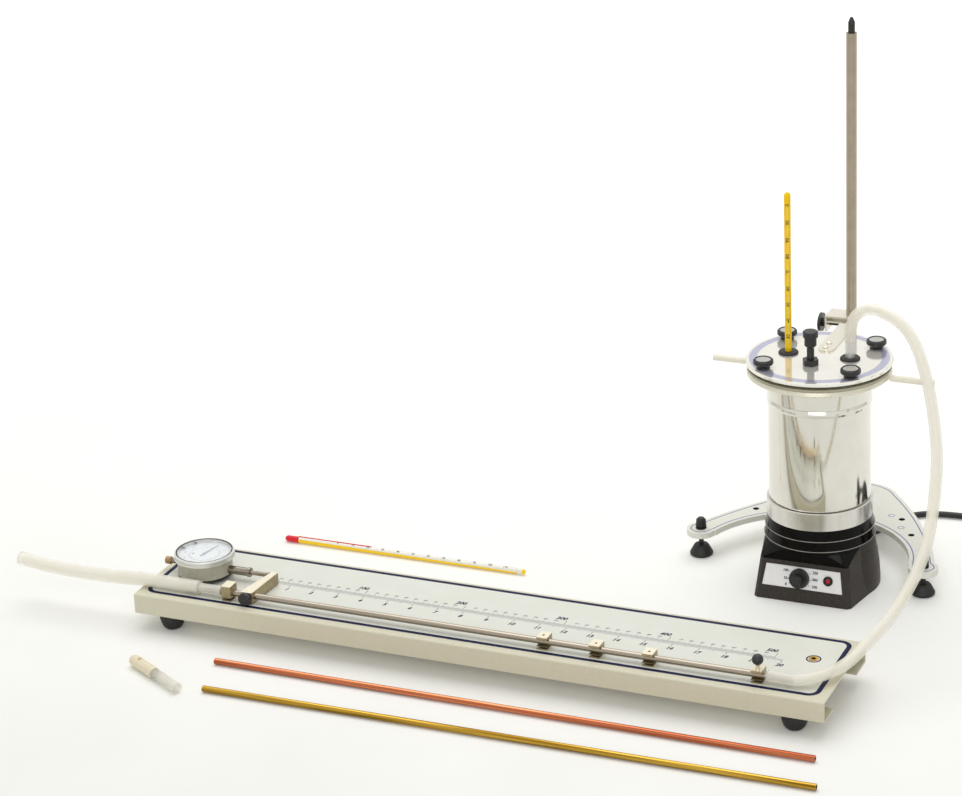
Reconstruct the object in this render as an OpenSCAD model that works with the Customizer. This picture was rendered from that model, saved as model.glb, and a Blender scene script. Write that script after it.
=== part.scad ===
// Linear dilatometer set: bench with dial gauge and specimen tube, steam generator on its stand, spare
// specimen tubes, spare thermometer, hose connector and cord. Millimetres, +Z up, the bench runs along X
// and the table is z = 0. Places are measured from the middle of the bench.

/* [Bench] */
// Length of the folded sheet channel
bench_length = 674; // [640:2:720]
// Width of the channel from wall to wall
bench_width = 121; // [115:1:130]
// Height of the channel's top face above the table
bench_height = 36; // [32:1:40]
// Depth of the folded side walls
wall_depth = 20; // [16:1:24]
// Sheet thickness of the channel
sheet = 1.5; // [1:0.1:1.8]
// Outside radius of the folds
fold_radius = 2; // [2:0.1:4]
// Width of the lips folded inwards under the walls
lip_width = 27; // [24:1:32]
// Distance from a channel end to the middle of a foot
foot_end_inset = 31; // [26:1:50]
// Distance from a side wall's face to the middle of a foot
foot_side_inset = 15; // [14:0.5:17]
// Largest radius of a bench foot
foot_radius = 12; // [10:0.5:12]

/* [Scale plate] */
// Distance from a channel end to the end of the printed plate
plate_end_gap = 7; // [5:0.5:20]
// Width of the printed plate
plate_width = 108.6; // [100:0.5:110]
// Thickness of the printed plate
plate_sheet = 0.3; // [0.3:0.1:0.8]
// Radius of the plate's corners
plate_corner = 11; // [6:1:16]
// Shift of the plate's middle towards the back
plate_back_shift = 1.7; // [0:0.1:2]
// Place of the scale's zero along the bench
scale_zero = -229; // [-232:0.5:-226]
// Distance from the channel's right end to the bench socket
socket_inset = 33; // [30:0.5:60]
// Thread radius of the bench socket
socket_bore = 2.1; // [1.6:0.1:2.6]
// Flange radius of the bench socket
socket_flange = 4.4; // [4:0.1:5]

/* [Specimen line] */
// Outside radius of every specimen tube
tube_radius = 3; // [2.5:0.1:3.2]
// Bore radius of every specimen tube
tube_bore = 2; // [1.5:0.1:2.2]
// Length of every specimen tube
tube_length = 572; // [560:2:580]
// Height of the specimen tube's axis above the channel's top face
tube_lift = 7; // [6.9:0.1:7.4]
// Distance of the specimen tube's axis in front of the bench's middle
tube_front = 41; // [39:0.5:42]
// Running clearance on radius round the moving tube and screws
running_fit = 0.06; // [0.03:0.01:0.08]
// Width of a guide clip along the bench
clip_width = 10; // [8:0.5:12]
// Depth of a guide clip from front to back
clip_depth = 12.7; // [12:0.1:14]
// Height of a guide clip above the printed plate
clip_height = 12.3; // [12:0.1:13]
// Height of the outlet guide above the printed plate
outlet_guide_height = 14.9; // [13:0.1:16]
// Height of the saw kerf in the guides
kerf = 1.8; // [1:0.1:2]
// Width of the stop arm at its front end
arm_width = 11.6; // [10:0.2:12]
// Width of the stop arm at its rear end
arm_end_width = 5.9; // [5:0.1:8]
// Length of the stop arm from front to back
arm_length = 48; // [47.5:0.5:50]
// Height of the stop arm's section
arm_height = 11; // [10:0.2:11]
// Thread radius of the small clamping screws
screw_radius = 2; // [1.5:0.1:2.2]
// Radius of the clamp screw's ball knob
ball_radius = 5.1; // [4:0.1:6]
// Radius of the stop arm screw's round knob
arm_knob_radius = 5.9; // [4:0.1:6]
// Outside radius of the outlet sleeve
sleeve_radius = 4.75; // [4.3:0.05:5]
// Outside radius of the outlet hose
outlet_hose_radius = 6.6; // [6:0.1:6.6]
// Outside radius of the inlet hose
inlet_hose_radius = 5.5; // [4.8:0.1:5.8]

/* [Dial gauge] */
// Radius of the gauge case
case_radius = 26.1; // [25.9:0.1:27]
// Wall of the gauge case
case_wall = 2; // [1.5:0.1:2.2]
// Height of the gauge case between its back and its bezel
case_depth = 14.4; // [14:0.1:15]
// Thickness of the screwed back
back_sheet = 1.8; // [1.4:0.1:2]
// Outside radius of the turning bezel
bezel_radius = 28.8; // [28.5:0.1:31]
// Height of the bezel
bezel_height = 5.6; // [5.5:0.1:6.5]
// Radius of the crystal
crystal_radius = 27; // [26.9:0.1:27.2]
// Thickness of the crystal
crystal_sheet = 1; // [0.8:0.1:1.1]
// Radius of the fixed inner dial
inner_dial_radius = 14.1; // [13.5:0.1:15]
// Radius of the gauge's stem
stem_radius = 4; // [3.9:0.1:4.1]
// Reach of the stem beyond the gauge's middle
stem_reach = 48.6; // [46:0.2:50]
// Radius of the measuring spindle
spindle_radius = 2.2; // [2.1:0.1:2.4]
// Length of the long hand from its pivot
hand_length = 22; // [18:0.5:23]
// Pitch of the rack's teeth
rack_pitch = 0.625; // [0.625]
// Teeth of the pinion on the rack
rack_pinion_teeth = 16; // [16]
// Teeth of the revolution wheel
wheel_teeth = 100; // [100]
// Teeth of the centre pinion
centre_teeth = 10; // [10]
// Module of the wheel and the centre pinion
wheel_module = 0.2; // [0.2]

/* [Steam generator] */
// Place of the generator's axis along the bench
generator_x = 237; // [232:1:240]
// Distance of the generator's axis behind the bench's middle
generator_y = 243.3; // [236:0.1:250]
// Radius of the housing at the table
housing_radius = 57; // [55:0.5:58]
// Distance of the housing's front edge from the axis at the table
front_reach = 57.4; // [56:0.2:59]
// Height of the housing up to the hot plate
housing_height = 71; // [68:1:74]
// Radius of the hot plate
hot_plate_radius = 49.7; // [48.5:0.1:50]
// Height of the hot plate
hot_plate_height = 17.5; // [15:0.5:20]
// Radius of the vessel's wall
vessel_radius = 47.8; // [46:0.1:48.4]
// Height of the vessel from its foot to its flange's top
vessel_height = 131; // [127:1:135]
// Wall of the vessel
vessel_wall = 1; // [0.8:0.1:1.4]
// Radius of the vessel's flange
flange_radius = 67; // [65:0.2:68]
// Thickness of the flange and of the lid
lid_sheet = 3; // [2.5:0.1:3.2]
// Radius of the lid
lid_radius = 68.2; // [66:0.2:69]
// Thickness of the gasket between flange and lid
gasket_sheet = 3.4; // [2.5:0.1:4]
// Radius of the circle of lid nuts
nut_circle = 57.5; // [57:0.5:58]
// Radius of a lid nut
nut_radius = 9.5; // [8:0.1:10]
// Height of a lid nut
nut_height = 9; // [8:0.5:12]
// Reach of the left handle from the axis
left_handle_reach = 103.4; // [95:0.2:105]
// Reach of the right handle from the axis
right_handle_reach = 110; // [100:0.2:112]
// Radius of the handle sleeves
handle_radius = 3.2; // [3:0.1:4]
// Radius of both thermometers
thermometer_radius = 3.1; // [2.8:0.1:3.2]
// Length of both thermometers
thermometer_length = 259; // [250:1:265]
// Radius of the heater knob
heater_knob_radius = 9.7; // [8.5:0.1:10]

/* [Stand] */
// Distance of a front levelling foot from the stand's middle line
stand_half_span = 113.8; // [112:0.2:115]
// Distance of the rear levelling foot behind the front ones
rear_foot_back = 141; // [138:0.5:142]
// Distance of the support rod behind the front feet
rod_back = 99.3; // [98:0.1:101]
// Thickness of the stand's plate
stand_sheet = 5.6; // [5:0.1:6.5]
// Height of the plate's top face above the table
stand_height = 27.5; // [26:0.5:30]
// Radius of the support rod
rod_radius = 5; // [4.5:0.1:5.5]
// Height of the support rod's plain top above the table
rod_top = 506; // [450:2:540]
// Radius of a levelling pad at the table
pad_radius = 11.2; // [10:0.2:12]
// Turn of the stand seen from above, in degrees
stand_turn = -4.7; // [-6:0.1:-3]
// Radius of the lid bracket's thumb knob
bracket_knob_radius = 9.3; // [8:0.1:10]

/* [Power cord] */
// Radius of the power cord
cord_radius = 3; // [2.6:0.1:3.1]
// Step from one coil turn to the next
coil_step = 6.6; // [6.6:0.1:7]
// Turns in the lower layer of the coil
lower_turns = 3; // [2:1:3]
// Radius of the coil's outer turn
coil_radius = 43; // [43:0.5:45]

/* [Hidden] */
$fn = 48;

// Small amount by which a cut runs past a face, and the size of a block that cuts a whole side away
cut = 1;
far = 200;

// Bench levels and places
plate_top = bench_height + plate_sheet;
wall_foot = bench_height - wall_depth;
foot_x = bench_length / 2 - foot_end_inset;
foot_y = bench_width / 2 - foot_side_inset;
plate_length = bench_length - 2 * plate_end_gap;
plate_end_shift = -1;
socket_place = [bench_length / 2 - socket_inset, 14.2];
socket_barrel = 3.4;
socket_depth = 8;

// Specimen line
tube_y = -tube_front;
tube_z = bench_height + tube_lift;
tube_overhang = 41;
tube_start = scale_zero - tube_overhang;
guide_width = 9.4;
guide_offset = 16.3;
guide_x = scale_zero - guide_offset;
clip_front = tube_y - 4.6;
clip_rod_gap = 0.15;
clip_stations = [300, 350, 400];
clip_shift = 0.5;
clamp_station = 500;
kerf_lift = 1.3;
kerf_reach = 8;
lip_hole_radius = 1.2;
arm_x = scale_zero + 4.6;
arm_slant = 5.7;
arm_front = tube_y - 5.5;
arm_z = tube_z - 0.2;
arm_knob_height = 4.6;
clamp_knob_z = bench_height + 21.5;
screw_rest = 0.2;
sleeve_end = guide_x - guide_width / 2 - 2.8;
sleeve_length = 37;
hose_sides = 12;
hose_flat = cos(180 / hose_sides);

// Dial gauge, measured from its own middle on the back's underside
gauge_offset = 63;
gauge_x = scale_zero - gauge_offset;
gauge_y = -0.8;
post_height = 3;
post_radius = 9;
gauge_z = plate_top + post_height;
case_z = back_sheet;
deck_z = case_z + case_depth;
deck_sheet = 1.2;
spindle_lift = case_z + stem_radius + 0.2;
spigot_height = 1.5;
bezel_z = deck_z + 0.1;
spigot_radius = case_radius - 0.9;
spigot_bore = spigot_radius + running_fit;
dial_z = deck_z + spigot_height + 0.1;
dial_sheet = 0.4;
dial_radius = crystal_radius - 0.5;
crystal_z = bezel_z + bezel_height - crystal_sheet - 0.3;
dial_gap = 0.2;
arbor_radius = 0.6;
arbor_fit = 0.05;
hand_z = dial_z + dial_sheet + 0.5;
hand_sheet = 0.3;
long_hand_rest = 79;
limit_z = hand_z + hand_sheet + 0.4;
wheel_pitch_radius = wheel_module * wheel_teeth / 2;
centre_pitch_radius = wheel_module * centre_teeth / 2;
rack_pitch_radius = rack_pitch * rack_pinion_teeth / 360 * 180 / PI;
rack_line = 1.9;
wheel_y = -rack_line - rack_pitch_radius;
centre_distance = wheel_pitch_radius + centre_pitch_radius;
wheel_x = -sqrt(centre_distance * centre_distance - wheel_y * wheel_y);
wheel_angle = atan2(-wheel_y, -wheel_x);
wheel_z = spindle_lift + spindle_radius + 2;
wheel_sheet = 1;
tip_gap = 0.3;
tip_radius = 1.7;
arm_left_slope = (arm_slant + (arm_width - arm_end_width) / 2) / arm_length;
arm_left_at_gauge = arm_x - arm_width / 2 + arm_left_slope * (gauge_y - arm_front);
tip_middle = arm_left_at_gauge - (tip_radius + tip_gap) * sqrt(1 + arm_left_slope ^ 2);
tip_reach = tip_middle + tip_radius - gauge_x;
cap_reach = 42;
rack_before = 4;
rack_after = 10.4;

// Steam generator, measured from its axis
hot_plate_z = housing_height;
vessel_z = hot_plate_z + hot_plate_height;
flange_z = vessel_z + vessel_height - lid_sheet;
gasket_z = flange_z + lid_sheet;
lid_z = gasket_z + gasket_sheet;
lid_top = lid_z + lid_sheet;
stud_radius = 2;
nut_angles = [41, 139, 225, 317];
stud_top = lid_top + nut_height - 3;
bead_low = vessel_height - 36;
thermometer_place = [-30.5, 2];
outlet_place = [28.5, 3.5];
valve_place = [-2, -20];
grommet_radius = 9.3;
grommet_height = 2.2;
plug_radius = 5.6;
glass_radius = 4.6;
glass_bore = 2.4;
spigot_glass = 3.05;
glass_shoulder = lid_top + 17.6;
thermometer_foot = lid_top + 156 - thermometer_length;
handle_z = flange_z - 2.5;
handle_y = -1.4;
handle_turn = -1;
rim_swell = 1;
handle_start = 69;
handle_rod = 2;
bracket_sheet = 1.6;
bracket_half_width = 7.5;
bracket_x = 0.6;
bracket_front = 12.5;
bracket_screws = [[-0.6, 21], [-0.6, 32.6]];
bracket_knob_gap = 5.2;
fork_left = -24.7;
fork_half_depth = 11;
fork_step_gap = 20;
fork_low = lid_top - 2.7;
fork_high = fork_low + 4.8;
web_low = lid_top - 12.9;
screw_z = lid_top - 7.2;

// Heater front, a block that leans back and narrows upwards
front_y = -front_reach;
front_lean = 12;
front_top = 47.5;
front_slope = front_top / cos(front_lean);
frame_top = 37.5;
block_back = -10.3;
side_inset = 0.5;
side_angle = 10.5;
side_lean = 8;
housing_side = housing_radius - side_inset;
corner_x = (housing_side + front_y * sin(side_angle)) / cos(side_angle);
corner_turn = (90 + side_angle) / 2;
corner_lean = atan((tan(front_lean) + tan(side_lean)) / (2 * sin(corner_turn)));
corner_bevel = 1.8;
block_reach = norm([corner_x, front_y]) + cut;
frame_corner = [
  corner_x - frame_top * (tan(side_lean) - tan(front_lean) * sin(side_angle)) / cos(side_angle),
  front_y + frame_top * tan(front_lean)
];
block_shoulder = norm(frame_corner);
ring_radius = hot_plate_radius + 2.4;
housing_wall = 13;
cavity_top = 50;
panel_sheet = 0.8;
panel_recess = 1.2;
panel_gap = 0.2;
panel_face = panel_sheet - panel_recess;
panel_foot_half = 39.1;
panel_top_half = 35.9;
panel_x = -0.6;
panel_height = 20.9;
panel_low = 13.1;
knob_x = -3.5;
knob_up = 10.1;
knob_gap = 0.3;
knob_skirt = 4;
knob_grip = 7;
grip_radius = 5.6;
lamp_x = 24.3;
lamp_up = 11.2;
shaft_radius = 3;
shaft_depth = 4;
shaft_bore = 6;
lamp_radius = 4.6;
lamp_lens = 2.4;

// Stand, measured in its own axes from the middle between the front feet
stand_offset = [-12, 6.8];
rod_side = 2.3;
side_arc = 450;
side_arc_x = 293;
side_arc_y = -165;
rear_lobe = 40;
rear_lobe_back = 122.5;
rear_cut = 22.5;
inner_arc = 101;
inner_arc_back = -22;
toe_radius = 14;
stand_holes = [[-82.6, 61.8], [57.4, 92.2], [78.5, 61.8]];
stand_hole_radius = 3;
foot_screw = 2.4;
pad_height = 11;
cap_height = 8.6;
cap_radius = 5.2;
rod_collar = 8;

// The rod's axis, seen from the generator's axis
rod_place = [
  stand_offset[0] + rod_side * cos(stand_turn) - rod_back * sin(stand_turn),
  stand_offset[1] + rod_side * sin(stand_turn) + rod_back * cos(stand_turn)
];

// Loose pieces on the table
copper_place = [-231, -101];
copper_turn = 0.3;
brass_place = [-215.5, -152.4];
brass_turn = 0.94;
spare_place = [-292, 159.7];
spare_turn = 0.35;
connector_place = [-303, -126];
connector_turn = -29;
rubber_radius = 5.4;
rubber_length = 38;
clear_radius = 5;
clear_length = 39;
connector_bore = 2;

// Cord and hose routes: chosen by hand, in the bench's axes
relief_offset = 20;
relief_z = 14;
relief_stub = 4.5;
relief_collar = 5.4;
relief_length = 24;
relief_sink = 1.3;
relief_seat = sqrt((housing_radius - relief_sink) ^ 2 - (relief_offset + relief_collar) ^ 2);
relief_place = [generator_x + relief_offset, generator_y + relief_seat, relief_z];
cord_route = [
  relief_place + [0, relief_length, 0], relief_place + [0, relief_length + 4, 0], [257, 332, 12.5],
  [258, 341, 8.5], [260, 350, 5], [262, 359, 3.4], [265, 369, 3.2], [269, 380, 3.2], [274, 391, 3.2],
  [282, 400, 3.2], [292, 407, 3.2], [304, 411, 3.2], [316, 413, 3.2], [330, 414, 3.2], [345, 414, 3.2],
  [360, 413.5, 3.2], [374, 413, 3.2], [387, 413, 3.2], [400, 413, 3.2]
];
coil_middle = cord_route[len(cord_route) - 1] - [0, coil_radius, 0];
climb = 0.3;
coil_turns = 2 * lower_turns + 0.25;
rings_per_turn = 24;
coil_end = coil_point(coil_turns);
plug_body_radius = 18.5;
coil_tail = [
  for (p = [[10, 0.8], [20, 3.2], [30, 6.6], [38, 8.7]])
    [coil_end[0], coil_end[1] - p[0], coil_end[2] + p[1] * (plug_body_radius - coil_end[2]) / 8.7]
];
plug_pin_spacing = 19;
plug_pin_radius = 2.4;
tube_line = [0, tube_y, tube_z];
hose_end = [generator_x + outlet_place[0], generator_y + outlet_place[1], glass_shoulder + 0.3];
inlet_route = [
  tube_line + [280, 0, 0], tube_line + [292, 0, 0], tube_line + [305, 0, 0], [317, -36, 44], [327, -26, 45],
  [335, -11, 45], [341, 6, 46], [346, 22, 50], [353.5, 36, 58], [362, 51, 68], [368, 68, 79],
  [373, 86, 92], [376.5, 104, 107], [377, 122, 123], [375.5, 139, 140], [373, 155, 157],
  [369.5, 170, 174], [364, 184, 190], [357.5, 197, 206], [351, 208, 221], [343, 219, 236],
  [334.5, 228, 250], [324, 236, 262], [310.5, 241, 271], [293.5, 245, 276.5], [281.5, 246.5, 276.5],
  [273, 246.5, 271], [268, 246.5, 263], hose_end + [0.5, 0, 10], hose_end + [0, 0, 4.5], hose_end
];
outlet_route = [
  tube_line + [-276, 0, 0], tube_line + [-290, 0, 0], tube_line + [-305, 0, 0], [-320, -41, 43],
  [-336, -41, 43], [-352, -41.5, 42.2], [-368, -42, 41.4], [-384, -42, 41], [-400, -42, 40.8],
  [-416, -42, 41], [-432, -42, 41.6], [-447, -42, 42.6], [-460, -41.5, 43.8], [-472, -41, 45]
];

// The frame's origin is the point of the table under the middle of the set's box, without the cords
set_left = min(-bench_length / 2, gauge_x - cap_reach, spare_place[0]);
stand_right = generator_x + stand_offset[0] + stand_half_span * cos(stand_turn) + toe_radius;
brass_right = brass_place[0] + tube_length * cos(brass_turn) + tube_radius * sin(brass_turn);
set_right = max(bench_length / 2, stand_right, brass_right);
connector_reach = (rubber_length + clear_length) * sin(connector_turn) - clear_radius * cos(connector_turn);
set_front = min(brass_place[1] - tube_radius, connector_place[1] + connector_reach);
rear_reach = rear_lobe_back * cos(stand_turn) + rear_lobe;
set_back = generator_y + stand_offset[1] + rear_reach;
set_middle = [(set_left + set_right) / 2, (set_front + set_back) / 2];

// Functions for swept tubes
function unit(v) = v / norm(v);
function tangent(route, i) =
  i == 0 ? unit(route[1] - route[0])
  : i == len(route) - 1 ? unit(route[i] - route[i - 1])
  : unit(unit(route[i + 1] - route[i]) + unit(route[i] - route[i - 1]));
function across(n, t) = unit(n - (n * t) * t);
function frames(route, i, n) =
  i == len(route) ? []
  : let (t = tangent(route, i), u = across(n, t)) concat([[t, u]], frames(route, i + 1, u));
function ring(c, f, r, sides) =
  let (w = cross(f[0], f[1]))
  [for (k = [0:sides - 1]) c + r * (cos(360 * k / sides) * f[1] + sin(360 * k / sides) * w)];
function skin(rings, sides, from, flip) =
  [for (i = [0:rings - 2], k = [0:sides - 1], s = [0, 1])
    let (a = from + i * sides + k, b = from + i * sides + (k + 1) % sides, c = a + sides, d = b + sides)
    flip ? (s == 0 ? [a, b, d] : [a, d, c]) : (s == 0 ? [a, d, b] : [a, c, d])];
function cap(from, sides, flip) =
  [for (k = [1:sides - 2]) flip ? [from, from + k + 1, from + k] : [from, from + k, from + k + 1]];
function rim(from, sides, inner, flip) =
  [for (k = [0:sides - 1], s = [0, 1])
    let (a = from + k, b = from + (k + 1) % sides, c = a + inner, d = b + inner)
    flip ? (s == 0 ? [a, d, b] : [a, c, d]) : (s == 0 ? [a, b, d] : [a, d, c])];

module swept_cord(route, r, sides, start_normal) {
  f = frames(route, 0, start_normal);
  n = len(route);
  points = [for (i = [0:n - 1]) each ring(route[i], f[i], r, sides)];
  faces = concat(skin(n, sides, 0, true), cap(0, sides, true), cap((n - 1) * sides, sides, false));
  polyhedron(points, faces, convexity = 10);
}

module swept_hose(route, r, bore, sides, start_normal) {
  f = frames(route, 0, start_normal);
  n = len(route);
  inner = n * sides;
  points = concat(
    [for (i = [0:n - 1]) each ring(route[i], f[i], r, sides)],
    [for (i = [0:n - 1]) each ring(route[i], f[i], bore, sides)]
  );
  faces = concat(
    skin(n, sides, 0, true), skin(n, sides, inner, false),
    rim(0, sides, inner, true), rim((n - 1) * sides, sides, inner, false)
  );
  polyhedron(points, faces, convexity = 10);
}

// Coil of the cord: inwards on the table, up by one step, outwards on top
function coil_radius_at(t) = coil_radius - coil_step * (t <= lower_turns ? t : 2 * lower_turns - t);
function coil_rise(t) = min(1, max(0, (t - lower_turns + climb) / (2 * climb)));
function coil_point(t) = [
  coil_middle[0] + coil_radius_at(t) * cos(90 - 360 * t),
  coil_middle[1] + coil_radius_at(t) * sin(90 - 360 * t),
  coil_middle[2] + coil_step * coil_rise(t)
];
coil_count = coil_turns * rings_per_turn;
coil_route = concat([for (i = [0:coil_count]) coil_point(i / rings_per_turn)], coil_tail);
coil_gap = min([
  for (i = [0:coil_count - 12], j = [i + 12:coil_count]) norm(coil_route[i] - coil_route[j])
]) - 2 * cord_radius;
echo("least gap of the coil to itself, mm", coil_gap);

// Shared shapes
module rod_x(r, length) {
  rotate([0, 90, 0]) cylinder(r = r, h = length);
}

module rod_y(r, length) {
  rotate([-90, 0, 0]) cylinder(r = r, h = length);
}

module rounded_rectangle(length, width, r) {
  square([length - 2 * r, width], center = true);
  square([length, width - 2 * r], center = true);
  for (sx = [-1, 1], sy = [-1, 1])
    translate([sx * (length / 2 - r), sy * (width / 2 - r)]) circle(r);
}

function gear_outline(teeth, pitch_radius, addendum, dedendum) = [
  for (i = [0:teeth - 1], p = [[-0.3, -1], [-0.1, 1], [0.1, 1], [0.3, -1]])
    let (a = 360 * (i + p[0]) / teeth, r = p[1] > 0 ? pitch_radius + addendum : pitch_radius - dedendum)
    [r * cos(a), r * sin(a)]
];

module at_gauge() {
  translate([gauge_x, gauge_y, gauge_z]) children();
}

module at_generator() {
  translate([generator_x, generator_y, 0]) children();
}

module at_stand() {
  at_generator() translate([stand_offset[0], stand_offset[1], 0]) rotate([0, 0, stand_turn]) children();
}

// Bench
module base_channel() {
  color([0.78, 0.76, 0.68])
  difference() {
    translate([0, 0, wall_foot + wall_depth / 2]) rotate([90, 0, 90])
      linear_extrude(bench_length, center = true)
        difference() {
          rounded_rectangle(bench_width, wall_depth, fold_radius);
          rounded_rectangle(bench_width - 2 * sheet, wall_depth - 2 * sheet, fold_radius - sheet);
          translate([0, -wall_depth / 2]) square([bench_width - 2 * lip_width, 4 * sheet], center = true);
        }
    translate([socket_place[0], socket_place[1], bench_height - cut - sheet])
      cylinder(r = socket_barrel, h = sheet + 2 * cut);
  }
}

module scale_plate() {
  color([0.8, 0.79, 0.74])
  translate([plate_end_shift, plate_back_shift, bench_height])
    linear_extrude(plate_sheet)
      difference() {
        rounded_rectangle(plate_length, plate_width, plate_corner);
        translate([socket_place[0] - plate_end_shift, socket_place[1] - plate_back_shift])
          circle(socket_barrel);
      }
}

module bench_foot() {
  rotate_extrude() {
    square([foot_radius - 2, wall_foot]);
    translate([0, 1]) square([foot_radius, wall_foot - 6]);
    translate([foot_radius - 2, wall_foot - 5]) circle(2);
    square([foot_radius - 1, 2]);
  }
}

module bench_feet() {
  color([0.08, 0.08, 0.08])
  for (sx = [-1, 1], sy = [-1, 1])
    translate([sx * foot_x, sy * foot_y, 0]) bench_foot();
}

module bench_socket() {
  color([0.75, 0.65, 0.4])
  translate([socket_place[0], socket_place[1], plate_top - socket_depth])
    difference() {
      union() {
        cylinder(r = socket_barrel, h = socket_depth);
        translate([0, 0, socket_depth]) cylinder(r = socket_flange, h = 0.5);
      }
      translate([0, 0, -cut]) cylinder(r = socket_bore, h = socket_depth + 3 * cut);
    }
}

// Dial gauge
module gauge_back() {
  color([0.2, 0.2, 0.2])
  at_gauge()
    difference() {
      union() {
        cylinder(r = case_radius, h = back_sheet);
        translate([0, 0, -post_height]) cylinder(r = post_radius, h = post_height);
        translate([wheel_x, wheel_y, 0]) cylinder(r = 1.6, h = back_sheet + 0.8);
      }
      translate([wheel_x, wheel_y, back_sheet]) cylinder(r = arbor_radius + arbor_fit, h = 1);
    }
}

module gauge_case() {
  guide_length = 5;
  color([0.72, 0.71, 0.69])
  at_gauge()
    difference() {
      union() {
        translate([0, 0, case_z]) cylinder(r = case_radius, h = case_depth);
        translate([0, 0, deck_z]) cylinder(r = spigot_radius, h = spigot_height);
        translate([0, 0, deck_z]) cylinder(r = inner_dial_radius, h = dial_z + dial_sheet - deck_z);
        translate([-case_radius - guide_length + 2, 0, spindle_lift]) rod_x(3.2, guide_length);
      }
      translate([0, 0, case_z - cut])
        cylinder(r = case_radius - case_wall, h = case_depth - deck_sheet + cut);
      translate([0, 0, deck_z])
        difference() {
          cylinder(r = spigot_radius - 1.2, h = spigot_height + cut);
          cylinder(r = inner_dial_radius, h = spigot_height + 2 * cut);
        }
      translate([-case_radius - guide_length - cut, 0, spindle_lift])
        rod_x(spindle_radius + running_fit, guide_length + case_wall + 4 * cut);
      translate([case_radius - case_wall - 3, 0, spindle_lift]) rod_x(stem_radius, case_wall + 5);
      cylinder(r = arbor_radius + arbor_fit, h = deck_z + 4);
      translate([wheel_x, wheel_y, 0]) cylinder(r = arbor_radius + arbor_fit, h = deck_z + 4);
    }
}

module gauge_bezel() {
  color([0.85, 0.85, 0.84])
  at_gauge() translate([0, 0, bezel_z])
    difference() {
      union() {
        cylinder(r = bezel_radius, h = 2.6);
        cylinder(r = bezel_radius - 0.8, h = bezel_height - 1);
        translate([0, 0, 3]) cylinder(r = bezel_radius - 0.3, h = bezel_height - 4);
        translate([0, 0, bezel_height - 1])
          cylinder(r1 = bezel_radius - 0.3, r2 = bezel_radius - 1.1, h = 1);
      }
      translate([0, 0, -cut]) cylinder(r = spigot_bore, h = bezel_height);
      translate([0, 0, dial_z - bezel_z]) cylinder(r = dial_radius, h = bezel_height);
      translate([0, 0, crystal_z - bezel_z]) cylinder(r = crystal_radius, h = bezel_height);
    }
}

module gauge_crystal() {
  color([0.8, 0.9, 0.95])
  at_gauge() translate([0, 0, crystal_z]) cylinder(r = crystal_radius, h = crystal_sheet);
}

module dial_face() {
  color([0.95, 0.95, 0.95])
  at_gauge() translate([0, 0, dial_z])
    difference() {
      cylinder(r = dial_radius, h = dial_sheet);
      translate([0, 0, -cut]) cylinder(r = inner_dial_radius + dial_gap, h = dial_sheet + 2 * cut);
    }
}

module long_hand() {
  color([0.1, 0.1, 0.1])
  at_gauge() {
    translate([0, 0, wheel_z - 0.4]) cylinder(r = arbor_radius, h = hand_z - wheel_z + 1.2);
    translate([0, 0, wheel_z - 0.4]) rotate([0, 0, wheel_angle + 180 + 180 / centre_teeth])
      linear_extrude(wheel_sheet + 0.8)
        polygon(gear_outline(centre_teeth, centre_pitch_radius, 0.15, 0.24));
    translate([0, 0, hand_z]) cylinder(r = 1.8, h = hand_sheet);
    translate([0, 0, hand_z]) rotate([0, 0, long_hand_rest])
      linear_extrude(hand_sheet) polygon([[-6, -0.8], [0, -0.9], [hand_length, -0.15],
        [hand_length, 0.15], [0, 0.9], [-6, 0.8]]);
  }
}

module revolution_wheel() {
  small_hand_z = dial_z + dial_sheet + 0.15;
  color([0.78, 0.62, 0.3])
  at_gauge() translate([wheel_x, wheel_y, 0]) {
    translate([0, 0, back_sheet + 0.1]) cylinder(r = arbor_radius, h = small_hand_z - back_sheet);
    translate([0, 0, spindle_lift - 1.6]) rotate([0, 0, 90])
      linear_extrude(wheel_z - spindle_lift + 1.8)
        polygon(gear_outline(rack_pinion_teeth, rack_pitch_radius, 0.14, 0.24));
    translate([0, 0, wheel_z]) rotate([0, 0, wheel_angle])
      linear_extrude(wheel_sheet)
        polygon(gear_outline(wheel_teeth, wheel_pitch_radius, 0.14, 0.24));
    translate([0, 0, small_hand_z]) rotate([0, 0, 100])
      linear_extrude(0.2) polygon([[-1.2, -0.3], [3.4, -0.1], [3.4, 0.1], [-1.2, 0.3]]);
  }
}

module limit_hand(angle) {
  at_gauge() translate([0, 0, limit_z]) rotate([0, 0, angle])
    linear_extrude(0.3)
      polygon([[dial_radius - 4.5, 0], [dial_radius - 2.2, -1.1], [dial_radius - 0.3, -1.1],
        [dial_radius - 0.3, 1.1], [dial_radius - 2.2, 1.1]]);
}

module limit_hand_1() {
  color([0.15, 0.2, 0.2]) limit_hand(172);
}

module limit_hand_2() {
  color([0.15, 0.2, 0.2]) limit_hand(138);
}

module gauge_stem() {
  collar = 2.4;
  stem_from = case_radius - case_wall - 0.4;
  color([0.8, 0.8, 0.8])
  at_gauge() translate([0, 0, spindle_lift])
    difference() {
      union() {
        translate([stem_from, 0, 0]) rod_x(stem_radius, stem_reach - stem_from);
        translate([stem_reach - collar, 0, 0]) rod_x(stem_radius + 0.6, collar);
      }
      translate([stem_from - cut, 0, 0]) rod_x(spindle_radius + running_fit, stem_reach);
    }
}

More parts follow.
